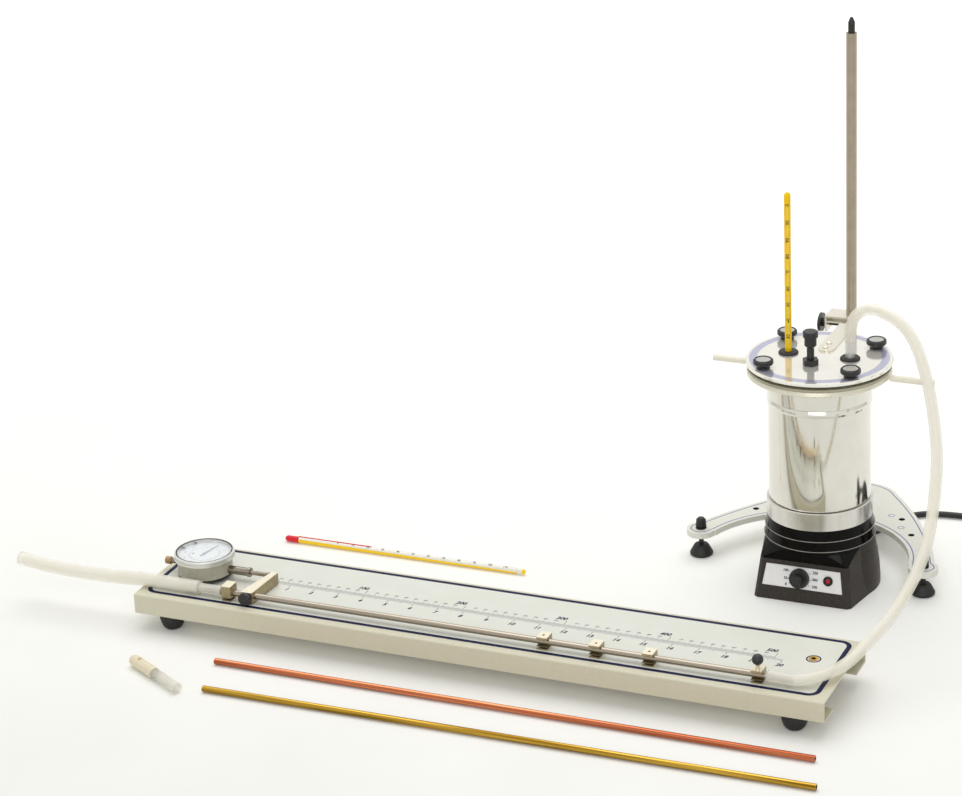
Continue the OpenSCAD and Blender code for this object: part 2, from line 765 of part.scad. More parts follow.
module spindle() {
  rack_x = wheel_x - rack_before;
  rack_length = rack_before + rack_after;
  teeth = floor(rack_length / rack_pitch);
  color([0.7, 0.7, 0.7])
  at_gauge() translate([0, 0, spindle_lift]) mirror([0, 1, 0]) {
    difference() {
      translate([-cap_reach + 6.3, 0, 0]) rod_x(spindle_radius, cap_reach + tip_reach - 10.5);
      translate([rack_x - 0.5, rack_line - 0.3, -spindle_radius - cut])
        cube([rack_length + 1, spindle_radius, 2 * spindle_radius + 2 * cut]);
    }
    translate([wheel_x, 0, -1.1]) linear_extrude(2.2)
      for (k = [-floor(rack_before / rack_pitch):teeth - floor(rack_before / rack_pitch) - 1])
        translate([(k + 0.5) * rack_pitch, 0])
          polygon([[-0.19, rack_line - 0.6], [-0.19, rack_line - 0.24], [-0.07, rack_line + 0.12],
            [0.07, rack_line + 0.12], [0.19, rack_line - 0.24], [0.19, rack_line - 0.6]]);
    translate([tip_reach - 5, 0, 0]) rod_x(1.6, 2);
    translate([tip_reach - 3.2, 0, 0]) rod_x(2.6, 1.6);
    translate([tip_reach - tip_radius, 0, 0]) sphere(tip_radius);
  }
}

module spindle_cap() {
  color([0.75, 0.6, 0.38])
  at_gauge() translate([-cap_reach, 0, spindle_lift]) {
    rod_x(3.7, 5);
    translate([5, 0, 0]) rod_x(3, 1.3);
  }
}

// Specimen line
module specimen(length) {
  difference() {
    rod_x(tube_radius, length);
    translate([-cut, 0, 0]) rod_x(tube_bore, length + 2 * cut);
  }
}

module specimen_tube() {
  color([0.66, 0.62, 0.58])
  translate([tube_start, tube_y, tube_z]) specimen(tube_length);
}

module guide_body(width, height, front) {
  translate([-width / 2, front, plate_top]) cube([width, clip_depth, height]);
}

module guide_kerf(width, front, lift) {
  translate([-width / 2 - cut, front - cut, plate_top + lift])
    cube([width + 2 * cut, kerf_reach + cut, kerf]);
}

module guide_clip(station) {
  gap = tube_radius + clip_rod_gap;
  width = clip_width + 2 * cut;
  color([0.74, 0.72, 0.66])
  translate([scale_zero + station + clip_shift, 0, 0])
    difference() {
      guide_body(clip_width, clip_height, clip_front);
      guide_kerf(clip_width, clip_front, kerf_lift);
      translate([-width / 2, tube_y, tube_z]) rod_x(gap, width);
      translate([-width / 2, clip_front - cut, tube_z - gap])
        cube([width, tube_y - clip_front + cut, 2 * gap]);
      translate([0, tube_y + 1, tube_z]) cylinder(r = lip_hole_radius, h = clip_height);
    }
}

module guide_clip_1() {
  guide_clip(clip_stations[0]);
}

module guide_clip_2() {
  guide_clip(clip_stations[1]);
}

module guide_clip_3() {
  guide_clip(clip_stations[2]);
}

module clamp_block() {
  gap = tube_radius + clip_rod_gap;
  width = clip_width + 2 * cut;
  color([0.74, 0.72, 0.66])
  translate([scale_zero + clamp_station + clip_shift, 0, 0])
    difference() {
      guide_body(clip_width, clip_height, clip_front);
      guide_kerf(clip_width, clip_front, kerf_lift);
      translate([-width / 2, tube_y, tube_z]) rod_x(gap, width);
      translate([-width / 2, clip_front - cut, tube_z - gap])
        cube([width, tube_y - clip_front + cut, 2 * gap]);
      translate([0, tube_y, tube_z]) cylinder(r = screw_radius + running_fit, h = clip_height);
    }
}

module clamp_screw() {
  screw_foot = tube_z + tube_radius + screw_rest;
  color([0.1, 0.1, 0.1])
  translate([scale_zero + clamp_station + clip_shift, tube_y, 0]) {
    translate([0, 0, screw_foot]) cylinder(r = screw_radius, h = clamp_knob_z - screw_foot);
    translate([0, 0, clamp_knob_z - ball_radius - 1.6]) cylinder(r1 = 1.9, r2 = 3, h = 3);
    translate([0, 0, clamp_knob_z]) sphere(ball_radius);
  }
}

module outlet_guide() {
  color([0.74, 0.72, 0.66])
  translate([guide_x, 0, 0])
    difference() {
      guide_body(guide_width, outlet_guide_height, tube_y - 5.9);
      guide_kerf(guide_width, tube_y - 5.9, kerf_lift);
      translate([-guide_width, tube_y, tube_z]) rod_x(tube_radius + running_fit, 2 * guide_width);
    }
}

module stop_arm() {
  color([0.76, 0.73, 0.66])
  translate([arm_x, 0, 0])
    difference() {
      translate([0, arm_front, arm_z - arm_height / 2])
        linear_extrude(arm_height)
          polygon([[-arm_width / 2, 0], [arm_width / 2, 0], [arm_slant + arm_end_width / 2, arm_length],
            [arm_slant - arm_end_width / 2, arm_length]]);
      translate([-arm_width, tube_y, tube_z]) rod_x(tube_radius, 2 * arm_width);
      translate([0, arm_front - cut, tube_z]) rod_y(screw_radius + running_fit, tube_y - arm_front + cut);
    }
}

module stop_arm_screw() {
  shank = -arm_front + tube_y - tube_radius - screw_rest;
  color([0.08, 0.08, 0.08])
  translate([arm_x, arm_front, tube_z]) {
    translate([0, -0.4, 0]) rod_y(screw_radius, shank + 0.4);
    translate([0, -0.4 - arm_knob_height, 0]) rod_y(arm_knob_radius, arm_knob_height - 0.6);
    translate([0, -1, 0]) rod_y(arm_knob_radius - 0.8, 0.6);
  }
}

module outlet_sleeve() {
  color([0.85, 0.86, 0.84])
  translate([sleeve_end - sleeve_length, tube_y, tube_z])
    difference() {
      rod_x(sleeve_radius, sleeve_length);
      translate([-cut, 0, 0]) rod_x(tube_radius, sleeve_length + 2 * cut);
    }
}

module outlet_hose() {
  color([0.9, 0.89, 0.84])
  swept_hose(outlet_route, outlet_hose_radius, sleeve_radius / hose_flat, hose_sides, [0, 0, 1]);
}

module inlet_hose() {
  color([0.9, 0.89, 0.82])
  swept_hose(inlet_route, inlet_hose_radius, (tube_radius + running_fit) / hose_flat, hose_sides, [0, 0, 1]);
}

// Steam generator
module heater_front() {
  difference() {
    rotate_extrude()
      polygon([[0, 0], [block_reach, 0], [block_reach, frame_top], [block_shoulder, frame_top],
        [ring_radius, front_top], [0, front_top]]);
    translate([-far / 2, block_back, -cut]) cube([far, far, far]);
    for (s = [0, 1]) mirror([s, 0, 0]) {
      rotate([0, 0, -side_angle]) translate([housing_side, 0, 0]) rotate([0, -side_lean, 0])
        translate([0, -far / 2, -far / 4]) cube(far);
      translate([corner_x, front_y, 0]) rotate([0, 0, -corner_turn]) rotate([0, -corner_lean, 0])
        translate([-corner_bevel, -far / 2, -far / 4]) cube(far);
    }
  }
}

module heater_housing() {
  r = housing_radius;
  neck = hot_plate_radius;
  h = housing_height;
  color([0.12, 0.11, 0.1])
  at_generator()
    difference() {
      union() {
        rotate_extrude()
          polygon([[0, 0], [r, 0], [r, 6], [r - 1, 19], [r - 2.5, 31], [ring_radius, 44],
            [ring_radius - 0.8, h - 21], [ring_radius, h - 20.2], [neck + 0.6, h - 11],
            [neck + 1.6, h - 10.2], [neck - 0.4, h - 0.6], [neck - 1, h], [0, h]]);
        heater_front();
      }
      translate([0, front_y, 0]) rotate([-front_lean, 0, 0])
        translate([-far / 2, -far, front_slope - far]) cube(far);
      translate([0, 0, -cut]) cylinder(r = r - housing_wall, h = cavity_top + cut);
      translate([relief_offset, relief_seat - 20, relief_z]) rod_y(relief_stub, 30);
      translate([relief_offset, relief_seat, relief_z]) rod_y(relief_collar + running_fit, 20);
      on_front(panel_x, 0) translate([0, 0, -panel_recess])
        linear_extrude(panel_recess + cut) polygon(panel_outline(panel_gap));
      on_front(knob_x, knob_up) cylinder(r = shaft_radius + running_fit, h = 2 * shaft_bore, center = true);
      on_front(lamp_x, lamp_up) cylinder(r = shaft_radius, h = 2 * shaft_bore, center = true);
    }
}

// Places a piece square to the leaning front, up along it from the panel's lower edge
module on_front(x, up) {
  translate([0, front_y, 0]) rotate([90 - front_lean, 0, 0]) translate([x, panel_low + up, 0]) children();
}

// The panel's edge, widened on every side by a margin
function panel_outline(margin) = [
  [-panel_foot_half - margin, -margin], [panel_foot_half + margin, -margin],
  [panel_top_half + margin, panel_height + margin], [-panel_top_half - margin, panel_height + margin]
];

module heater_panel() {
  color([0.9, 0.9, 0.9])
  at_generator()
    on_front(panel_x, 0) translate([0, 0, -panel_recess])
      difference() {
        linear_extrude(panel_sheet) polygon(panel_outline(0));
        translate([knob_x - panel_x, knob_up, -cut])
          cylinder(r = shaft_radius + running_fit, h = panel_sheet + 2 * cut);
        translate([lamp_x - panel_x, lamp_up, -cut]) cylinder(r = shaft_radius, h = panel_sheet + 2 * cut);
      }
}

module heater_knob() {
  color([0.1, 0.1, 0.1])
  at_generator()
    on_front(knob_x, knob_up) {
      translate([0, 0, -shaft_depth])
        cylinder(r = shaft_radius, h = shaft_depth + panel_face + knob_gap + cut);
      translate([0, 0, panel_face + knob_gap])
        cylinder(r1 = heater_knob_radius, r2 = heater_knob_radius - 0.6, h = knob_skirt);
      translate([0, 0, panel_face + knob_gap + knob_skirt])
        cylinder(r1 = grip_radius, r2 = grip_radius - 0.7, h = knob_grip);
    }
}

module pilot_lamp() {
  ring_height = 1.4;
  color([0.7, 0.05, 0.1])
  at_generator()
    on_front(lamp_x, lamp_up) {
      translate([0, 0, -shaft_depth]) cylinder(r = shaft_radius, h = shaft_depth + panel_face);
      translate([0, 0, panel_face]) cylinder(r = lamp_radius, h = ring_height);
      translate([0, 0, panel_face + ring_height]) cylinder(r1 = lamp_lens, r2 = lamp_lens - 0.9, h = 1);
    }
}

module hot_plate() {
  color([0.75, 0.75, 0.75])
  at_generator() translate([0, 0, hot_plate_z]) {
    cylinder(r = hot_plate_radius, h = hot_plate_height - 0.6);
    translate([0, 0, hot_plate_height - 0.6])
      cylinder(r1 = hot_plate_radius, r2 = hot_plate_radius - 0.6, h = 0.6);
  }
}

module vessel() {
  r = vessel_radius;
  w = vessel_wall;
  b = bead_low;
  top = vessel_height;
  color([0.8, 0.8, 0.8])
  at_generator() translate([0, 0, vessel_z]) {
    rotate_extrude()
      polygon([[0, 0], [r - 2, 0], [r - 0.6, 0.6], [r, 2], [r, b], [r + 1.3, b + 2.4], [r + 1.3, b + 4.4],
        [r + 0.4, b + 6.8], [r + rim_swell, b + 7.6], [r + rim_swell, top - lid_sheet],
        [flange_radius - 1, top - lid_sheet], [flange_radius, top - lid_sheet + 1], [flange_radius, top],
        [r, top], [r, b + 7.4], [r - w, b + 5.4], [r - w, w + 1], [r - w - 1, w], [0, w]]);
    for (a = nut_angles) rotate([0, 0, a])
      translate([nut_circle, 0, top - 1]) cylinder(r = stud_radius, h = stud_top - vessel_z - top + 1);
  }
}

module handles() {
  color([0.86, 0.84, 0.76])
  at_generator()
    difference() {
      translate([0, handle_y, handle_z]) rotate([0, 0, handle_turn])
        for (p = [[0, right_handle_reach], [180, left_handle_reach]]) rotate([0, 0, p[0]]) {
          translate([vessel_radius - 1, 0, 0]) rod_x(handle_rod, handle_start - vessel_radius + 3);
          translate([handle_start, 0, 0]) rod_x(handle_radius, p[1] - handle_start);
        }
      cylinder(r = vessel_radius + rim_swell, h = flange_z);
    }
}

module gasket() {
  color([0.1, 0.1, 0.1])
  at_generator() translate([0, 0, gasket_z])
    difference() {
      cylinder(r = nut_circle - stud_radius - 1.5, h = gasket_sheet);
      translate([0, 0, -cut]) cylinder(r = vessel_radius + 0.5, h = gasket_sheet + 2 * cut);
    }
}

module lid() {
  color([0.82, 0.82, 0.8])
  at_generator() translate([0, 0, lid_z])
    difference() {
      union() {
        cylinder(r = lid_radius, h = lid_sheet - 0.8);
        translate([0, 0, lid_sheet - 0.8]) cylinder(r1 = lid_radius, r2 = lid_radius - 0.8, h = 0.8);
      }
      for (a = nut_angles) rotate([0, 0, a])
        translate([nut_circle, 0, -cut]) cylinder(r = stud_radius + 0.3, h = lid_sheet + 2 * cut);
      for (p = [thermometer_place, outlet_place])
        translate([p[0], p[1], -cut]) cylinder(r = plug_radius, h = lid_sheet + 2 * cut);
      translate([valve_place[0], valve_place[1], -cut]) cylinder(r = 3.5, h = lid_sheet + 2 * cut);
    }
}

module lid_nut(angle) {
  h = nut_height;
  color([0.1, 0.1, 0.1])
  at_generator() rotate([0, 0, angle]) translate([nut_circle, 0, lid_top])
    difference() {
      rotate_extrude()
        polygon([[0, 0.3], [6.4, 0.3], [5.6, 1.4], [6, h - 6.4], [nut_radius - 0.7, h - 5.2],
          [nut_radius, h - 4.2], [nut_radius - 0.2, h - 1.2], [nut_radius - 1.6, h],
          [nut_radius - 2.6, h - 0.8], [0, h - 0.8]]);
      translate([0, 0, -cut]) cylinder(r = stud_radius + running_fit, h = stud_top - lid_top + cut + 0.5);
    }
}

module lid_nut_1() {
  lid_nut(nut_angles[0]);
}

module lid_nut_2() {
  lid_nut(nut_angles[1]);
}

module lid_nut_3() {
  lid_nut(nut_angles[2]);
}

module lid_nut_4() {
  lid_nut(nut_angles[3]);
}

module thermometer_body() {
  translate([0, 0, 9]) cylinder(r = thermometer_radius, h = thermometer_length - 11);
  translate([0, 0, 1.6]) cylinder(r = thermometer_radius - 0.6, h = 8);
  translate([0, 0, thermometer_radius - 0.6]) sphere(thermometer_radius - 0.6);
  translate([0, 0, thermometer_length - 2])
    cylinder(r1 = thermometer_radius, r2 = thermometer_radius - 1.2, h = 2);
}

module thermometer() {
  color([0.98, 0.85, 0.1])
  at_generator() translate([thermometer_place[0], thermometer_place[1], thermometer_foot])
    thermometer_body();
}

module lid_grommets() {
  color([0.08, 0.08, 0.08])
  at_generator()
    for (p = [[thermometer_place, thermometer_radius + running_fit], [outlet_place, glass_radius]])
      translate([p[0][0], p[0][1], lid_z])
        difference() {
          union() {
            cylinder(r = plug_radius, h = lid_sheet);
            translate([0, 0, lid_sheet]) cylinder(r = grommet_radius, h = grommet_height - 1);
            translate([0, 0, lid_sheet + grommet_height - 1])
              cylinder(r1 = grommet_radius, r2 = grommet_radius - 1, h = 1);
            translate([0, 0, -2]) cylinder(r = plug_radius + 1.4, h = 2);
          }
          translate([0, 0, -4]) cylinder(r = p[1], h = 20);
        }
}

module safety_valve() {
  color([0.1, 0.1, 0.1])
  at_generator() translate([valve_place[0], valve_place[1], lid_z]) {
    cylinder(r = 3.5, h = lid_sheet);
    translate([0, 0, lid_sheet]) cylinder(r = 7.6, h = 5.5, $fn = 6);
    translate([0, 0, lid_sheet + 5]) cylinder(r = 3.4, h = 13);
    translate([0, 0, lid_sheet + 16.5]) cylinder(r1 = 3.4, r2 = 5.6, h = 2.5);
    translate([0, 0, lid_sheet + 19]) cylinder(r = 5.6, h = 8.4);
    translate([0, 0, lid_sheet + 27.2]) cylinder(r = 7, h = 5);
    translate([0, 0, lid_sheet + 32.2]) cylinder(r1 = 7, r2 = 6, h = 0.8);
  }
}

module glass_tube() {
  color([0.85, 0.93, 0.95])
  at_generator() translate([outlet_place[0], outlet_place[1], lid_z - 8])
    difference() {
      union() {
        cylinder(r = glass_radius, h = glass_shoulder - lid_z + 8);
        cylinder(r = spigot_glass, h = glass_shoulder - lid_z + 8 + 7);
      }
      translate([0, 0, -cut]) cylinder(r = glass_bore, h = 80);
    }
}

// Stand
module stand_outline() {
  difference() {
    intersection() {
      translate([side_arc_x, side_arc_y]) circle(side_arc, $fn = 200);
      translate([-side_arc_x, side_arc_y]) circle(side_arc, $fn = 200);
      translate([-stand_half_span - toe_radius, 0])
        square([2 * (stand_half_span + toe_radius), rear_lobe_back + rear_cut]);
    }
    translate([0, inner_arc_back]) circle(inner_arc, $fn = 96);
  }
  translate([0, rear_lobe_back]) circle(rear_lobe, $fn = 96);
  for (s = [-1, 1]) translate([s * stand_half_span, 0]) circle(toe_radius);
}

module stand_plate() {
  color([0.82, 0.8, 0.72])
  at_stand() translate([0, 0, stand_height - stand_sheet])
    linear_extrude(stand_sheet)
      difference() {
        stand_outline();
        for (s = [-1, 1]) translate([s * stand_half_span, 0]) circle(foot_screw + running_fit);
        translate([0, rear_foot_back]) circle(foot_screw + running_fit);
        translate([rod_side, rod_back]) circle(rod_radius);
        for (p = stand_holes) translate(p) circle(stand_hole_radius);
      }
}

module levelling_foot(x, y) {
  top = stand_height + 0.3;
  color([0.1, 0.1, 0.1])
  at_stand() translate([x, y, 0])
    rotate_extrude()
      polygon([[0, 0], [pad_radius - 0.8, 0], [pad_radius, 0.8], [pad_radius, 2.6], [8, pad_height - 2.4],
        [6.6, pad_height - 0.4], [5.6, pad_height], [foot_screw, pad_height], [foot_screw, top],
        [cap_radius, top], [cap_radius, top + 1.2], [foot_screw + 1.4, top + 1.2],
        [foot_screw + 1.4, top + 2.4], [cap_radius, top + 2.4], [cap_radius - 0.5, top + cap_height],
        [cap_radius - 2.2, top + cap_height + 2], [0, top + cap_height + 2]]);
}

module levelling_foot_1() {
  levelling_foot(-stand_half_span, 0);
}

module levelling_foot_2() {
  levelling_foot(stand_half_span, 0);
}

module levelling_foot_3() {
  levelling_foot(0, rear_foot_back);
}

module support_rod() {
  under = 4;
  low = stand_height - stand_sheet - under;
  color([0.6, 0.57, 0.52])
  at_stand() translate([rod_side, rod_back, 0]) {
    translate([0, 0, low]) cylinder(r = rod_radius, h = rod_top - low);
    translate([0, 0, low]) cylinder(r = rod_collar, h = under, $fn = 6);
    translate([0, 0, stand_height]) cylinder(r = rod_collar, h = 5);
    translate([0, 0, rod_top]) cylinder(r = 3.2, h = 10);
    translate([0, 0, rod_top + 10]) cylinder(r1 = 3.2, r2 = 1.2, h = 4.6);
  }
}

module lid_bracket() {
  right = rod_place[0] + rod_radius + 2;
  back = rod_place[1] + fork_half_depth;
  step = rod_place[1] - fork_step_gap;
  color([0.84, 0.82, 0.76])
  at_generator()
    difference() {
      union() {
        translate([bracket_x, bracket_front + bracket_half_width, lid_top])
          cylinder(r = bracket_half_width, h = bracket_sheet);
        translate([bracket_x - bracket_half_width, bracket_front + bracket_half_width, lid_top])
          cube([2 * bracket_half_width, step - bracket_front - bracket_half_width, bracket_sheet]);
        translate([bracket_x - bracket_half_width, step - bracket_sheet, fork_low])
          cube([2 * bracket_half_width, bracket_sheet, lid_top - fork_low + bracket_sheet]);
        translate([bracket_x - bracket_half_width, step - bracket_sheet, fork_low])
          cube([right - bracket_x + bracket_half_width, fork_step_gap + bracket_sheet, bracket_sheet]);
        for (z = [fork_low, fork_high])
          translate([fork_left, back - 2 * fork_half_depth, z])
            cube([right - fork_left, 2 * fork_half_depth, bracket_sheet]);
        translate([fork_left, back - 2 * fork_half_depth, web_low])
          cube([bracket_sheet, 2 * fork_half_depth, fork_high + bracket_sheet - web_low]);
        for (p = bracket_screws) translate([p[0], p[1], lid_top + bracket_sheet]) {
          cylinder(r = 2.7, h = 1);
          translate([0, 0, 1]) cylinder(r1 = 2.7, r2 = 1.4, h = 1);
        }
      }
      translate([rod_place[0], rod_place[1], web_low - cut])
        cylinder(r = rod_radius, h = fork_high - web_low + bracket_sheet + 2 * cut);
      translate([fork_left - cut, rod_place[1], screw_z])
        rod_x(screw_radius + running_fit, bracket_sheet + 2 * cut);
    }
}

module bracket_knob() {
  disc = 3;
  disc_left = fork_left - bracket_knob_gap - disc;
  tip = rod_place[0] - rod_radius - screw_rest;
  color([0.1, 0.1, 0.1])
  at_generator() translate([0, rod_place[1], screw_z]) {
    translate([disc_left, 0, 0]) rod_x(screw_radius, tip - disc_left);
    translate([disc_left, 0, 0]) rod_x(bracket_knob_radius, disc);
    translate([disc_left + disc, 0, 0]) rod_x(4, bracket_knob_gap - 1);
  }
}

// Power cord
module strain_relief() {
  color([0.08, 0.08, 0.08])
  translate(relief_place) {
    rotate([-90, 0, 0]) cylinder(r1 = relief_collar, r2 = cord_radius + 1, h = relief_length);
    translate([0, -4, 0]) rod_y(relief_stub, 4);
  }
}

module power_cord() {
  color([0.08, 0.08, 0.08]) swept_cord(cord_route, cord_radius, 8, [0, 0, 1]);
}

module cord_coil() {
  color([0.08, 0.08, 0.08]) swept_cord(coil_route, cord_radius, 6, [0, 0, 1]);
}

module plug() {
  relief = 26;
  body = 18;
  face = relief + body;
  pin = 17.5;
  color([0.08, 0.08, 0.08])
  translate(coil_tail[3]) rotate([90, 0, 0]) {
    cylinder(r1 = cord_radius + 0.8, r2 = 6, h = relief);
    translate([0, 0, relief - 8]) cylinder(r1 = 8, r2 = plug_body_radius - 2, h = 8);
    translate([0, 0, relief]) cylinder(r = plug_body_radius, h = body);
    for (s = [-1, 1]) translate([s * plug_pin_spacing / 2, 0, face]) {
      cylinder(r = plug_pin_radius, h = pin);
      translate([0, 0, pin]) cylinder(r1 = plug_pin_radius, r2 = 1.4, h = 1.5);
    }
  }
}

// Loose pieces on the table
module copper_tube() {
  color([0.78, 0.45, 0.33])
  translate([copper_place[0], copper_place[1], tube_radius]) rotate([0, 0, copper_turn])
    specimen(tube_length);
}

module brass_tube() {
  color([0.72, 0.6, 0.25])
  translate([brass_place[0], brass_place[1], tube_radius]) rotate([0, 0, brass_turn]) specimen(tube_length);
}

module spare_thermometer() {
  color([0.95, 0.9, 0.7])
  translate([spare_place[0], spare_place[1], thermometer_radius]) rotate([0, 0, spare_turn])
    translate([thermometer_length, 0, 0]) rotate([0, -90, 0]) thermometer_body();
}

module hose_connector() {
  color([0.85, 0.82, 0.72])
  translate([connector_place[0], connector_place[1], rubber_radius]) rotate([0, 0, connector_turn])
    difference() {
      union() {
        translate([2, 0, 0]) rod_x(rubber_radius, rubber_length - 2);
        rotate([0, 90, 0]) cylinder(r1 = rubber_radius - 1.4, r2 = rubber_radius, h = 2);
        translate([rubber_length, 0, 0]) rod_x(clear_radius, clear_length);
      }
      translate([-cut, 0, 0]) rod_x(connector_bore, rubber_length + clear_length);
      translate([rubber_length + 2, 0, 0]) rod_x(clear_radius - 1.2, clear_length);
      translate([13, 0, 0]) cylinder(r = 1.6, h = 10);
    }
}

translate([-set_middle[0], -set_middle[1], 0]) {
  base_channel();
  scale_plate();
  bench_feet();
  bench_socket();
  gauge_case();
  gauge_back();
  gauge_bezel();
  gauge_crystal();
  dial_face();
  long_hand();
  revolution_wheel();
  limit_hand_1();
  limit_hand_2();
  gauge_stem();
  spindle();
  spindle_cap();
  specimen_tube();
  stop_arm();
  stop_arm_screw();
  outlet_guide();
  guide_clip_1();
  guide_clip_2();
  guide_clip_3();
  clamp_block();
  clamp_screw();
  outlet_sleeve();
  outlet_hose();
  inlet_hose();
  heater_housing();
  heater_panel();
  heater_knob();
  pilot_lamp();
  hot_plate();
  vessel();
  handles();
  gasket();
  lid();
  lid_nut_1();
  lid_nut_2();
  lid_nut_3();
  lid_nut_4();
  thermometer();
  lid_grommets();
  safety_valve();
  glass_tube();
  stand_plate();
  levelling_foot_1();
  levelling_foot_2();
  levelling_foot_3();
  support_rod();
  lid_bracket();
  bracket_knob();
  strain_relief();
  power_cord();
  cord_coil();
  plug();
  copper_tube();
  brass_tube();
  spare_thermometer();
  hose_connector();
}
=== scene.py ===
# %% [markdown]
# # Linear dilatometer set
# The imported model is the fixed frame: every solid already has its real size and place. This script gives
# the solids their materials, replaces the soft and printed ones, and sets up the studio and the camera.
# %% Load the frame
import bmesh
import bpy
import math
from mathutils import Matrix, Vector


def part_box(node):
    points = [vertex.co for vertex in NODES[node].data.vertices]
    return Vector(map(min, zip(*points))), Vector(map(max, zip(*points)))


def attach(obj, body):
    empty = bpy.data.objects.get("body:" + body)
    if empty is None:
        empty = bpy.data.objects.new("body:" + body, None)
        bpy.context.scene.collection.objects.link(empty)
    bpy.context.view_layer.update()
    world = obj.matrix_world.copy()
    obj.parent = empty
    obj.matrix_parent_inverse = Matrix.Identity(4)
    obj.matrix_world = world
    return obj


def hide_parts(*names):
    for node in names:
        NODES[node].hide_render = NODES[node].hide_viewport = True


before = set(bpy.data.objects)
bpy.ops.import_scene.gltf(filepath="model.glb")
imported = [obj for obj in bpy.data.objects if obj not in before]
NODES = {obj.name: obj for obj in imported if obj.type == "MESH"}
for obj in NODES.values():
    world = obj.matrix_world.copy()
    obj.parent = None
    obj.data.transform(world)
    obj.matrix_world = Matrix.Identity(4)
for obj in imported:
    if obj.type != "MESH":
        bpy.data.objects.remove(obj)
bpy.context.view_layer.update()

ROOT = "bench_and_generator"

# %% [markdown]
# ## Places
# Places are written in millimetres from the middle of the bench, as the real set would be measured with a
# ruler. `at` turns one into a point of the frame, in metres.
# %% Points
BENCH_LOW, BENCH_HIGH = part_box("base_channel")
MIDDLE = ((BENCH_LOW[0] + BENCH_HIGH[0]) / 2, (BENCH_LOW[1] + BENCH_HIGH[1]) / 2)
HX, HY = 237.0, 243.3  # upright axis of the heater, the pan and the lid
GX, GY = -292.0, -0.8  # upright axis of the dial gauge
TUBE_Y, TUBE_Z = -41.0, 43.0  # axis of the specimen tube, which runs along X


def at(x, y, z):
    return Vector((x / 1000 + MIDDLE[0], y / 1000 + MIDDLE[1], z / 1000))


def smooth(points, steps):
    """Catmull-Rom points through the given ones."""
    p = [2 * points[0] - points[1], *points, 2 * points[-1] - points[-2]]
    out = []
    for i in range(1, len(p) - 2):
        for s in range(steps):
            t = s / steps
            a, b, c, d = p[i - 1], p[i], p[i + 1], p[i + 2]
            out.append(0.5 * (2 * b + (c - a) * t + (2 * a - 5 * b + 4 * c - d) * t ** 2
                              + (3 * b - a - 3 * c + d) * t ** 3))
    return [*out, points[-1]]


def length_of(path):
    return sum((b - a).length for a, b in zip(path, path[1:]))


print("bench middle:", [round(v, 4) for v in MIDDLE])

# %% [markdown]
# ## Camera
# The photograph was taken from the front right and above, 2.7 m away, looking down at 22 degrees. The
# place and heading could be set by eye, but edges of the bench and the generator were matched instead, so
# the same points meet the same pixels. A long lens keeps the perspective flat; the tripod had a small roll.
# %% Camera
def heading_matrix(yaw, pitch, roll):
    """Columns right, up and backwards of a camera with that heading, in degrees."""
    y, p, r = (math.radians(a) for a in (yaw, pitch, roll))
    ahead = Vector((math.sin(y) * math.cos(p), math.cos(y) * math.cos(p), -math.sin(p)))
    level = Vector((math.cos(y), -math.sin(y), 0))
    top = level.cross(ahead)
    right = math.cos(r) * level + math.sin(r) * top
    up = -math.sin(r) * level + math.cos(r) * top
    return Matrix((right, up, -ahead)).transposed()


lens = bpy.data.cameras.new("photo_camera")
lens.sensor_fit = "HORIZONTAL"
lens.sensor_width = 36
lens.lens = 109.745
lens.clip_start, lens.clip_end = 0.1, 60
camera = bpy.data.objects.new("photo_camera", lens)
bpy.context.scene.collection.objects.link(camera)
turn = heading_matrix(-24.8267, 22.0405, -2.9111).to_4x4()
camera.matrix_world = Matrix.Translation(at(1009.75, -2174.9, 1222.03)) @ turn
bpy.context.scene.camera = camera
print("camera:", [round(v, 3) for v in camera.location])


# %% [markdown]
# ## Material kit
# Paint, rubber and metal are never quite even. Image textures could show that, but they need files and
# stretch on curved parts. So `surface` makes a procedural finish: two noises in object coordinates vary the
# colour and the roughness, and a third gives the fine relief. Colours are sRGB hex, as on a paint card.
# %% Material functions
def rgb(code):
    """Linear colour of an sRGB hex code."""
    parts = [int(code[i:i + 2], 16) / 255 for i in (1, 3, 5)]
    return (*[c / 12.92 if c <= 0.04045 else ((c + 0.055) / 1.055) ** 2.4 for c in parts], 1.0)


def new_material(name):
    mat = bpy.data.materials.new(name)
    mat.use_nodes = True
    tree = mat.node_tree
    return mat, tree, tree.nodes["Principled BSDF"]


def object_point(tree):
    return tree.nodes.new("ShaderNodeTexCoord").outputs["Object"]


def noise(tree, scale, stretch=(1, 1, 1), detail=3.0):
    """A noise in object coordinates: its factor socket."""
    mapping = tree.nodes.new("ShaderNodeMapping")
    mapping.inputs["Scale"].default_value = stretch
    tex = tree.nodes.new("ShaderNodeTexNoise")
    tex.inputs["Scale"].default_value = scale
    tex.inputs["Detail"].default_value = detail
    tree.links.new(object_point(tree), mapping.inputs["Vector"])
    tree.links.new(mapping.outputs["Vector"], tex.inputs["Vector"])
    return tex.outputs["Fac"]


NOISE_LOW, NOISE_HIGH = 0.3, 0.7  # nearly all values of a noise lie between these
RELIEF_DEPTH = 0.0002  # metres


def ramp(tree, factor, stops):
    """A colour from a factor, with stops = [(place, hex code), ...]."""
    node = tree.nodes.new("ShaderNodeValToRGB")
    ends = node.color_ramp.elements
    while len(ends) < len(stops):
        ends.new(0.5)
    for e, (place, code) in zip(ends, stops):
        e.position = place
        e.color = rgb(code)
    tree.links.new(factor, node.inputs["Fac"])
    return node.outputs["Color"]


def two_tones(tree, factor, dark, light):
    return ramp(tree, factor, [(NOISE_LOW, dark), (NOISE_HIGH, light)])


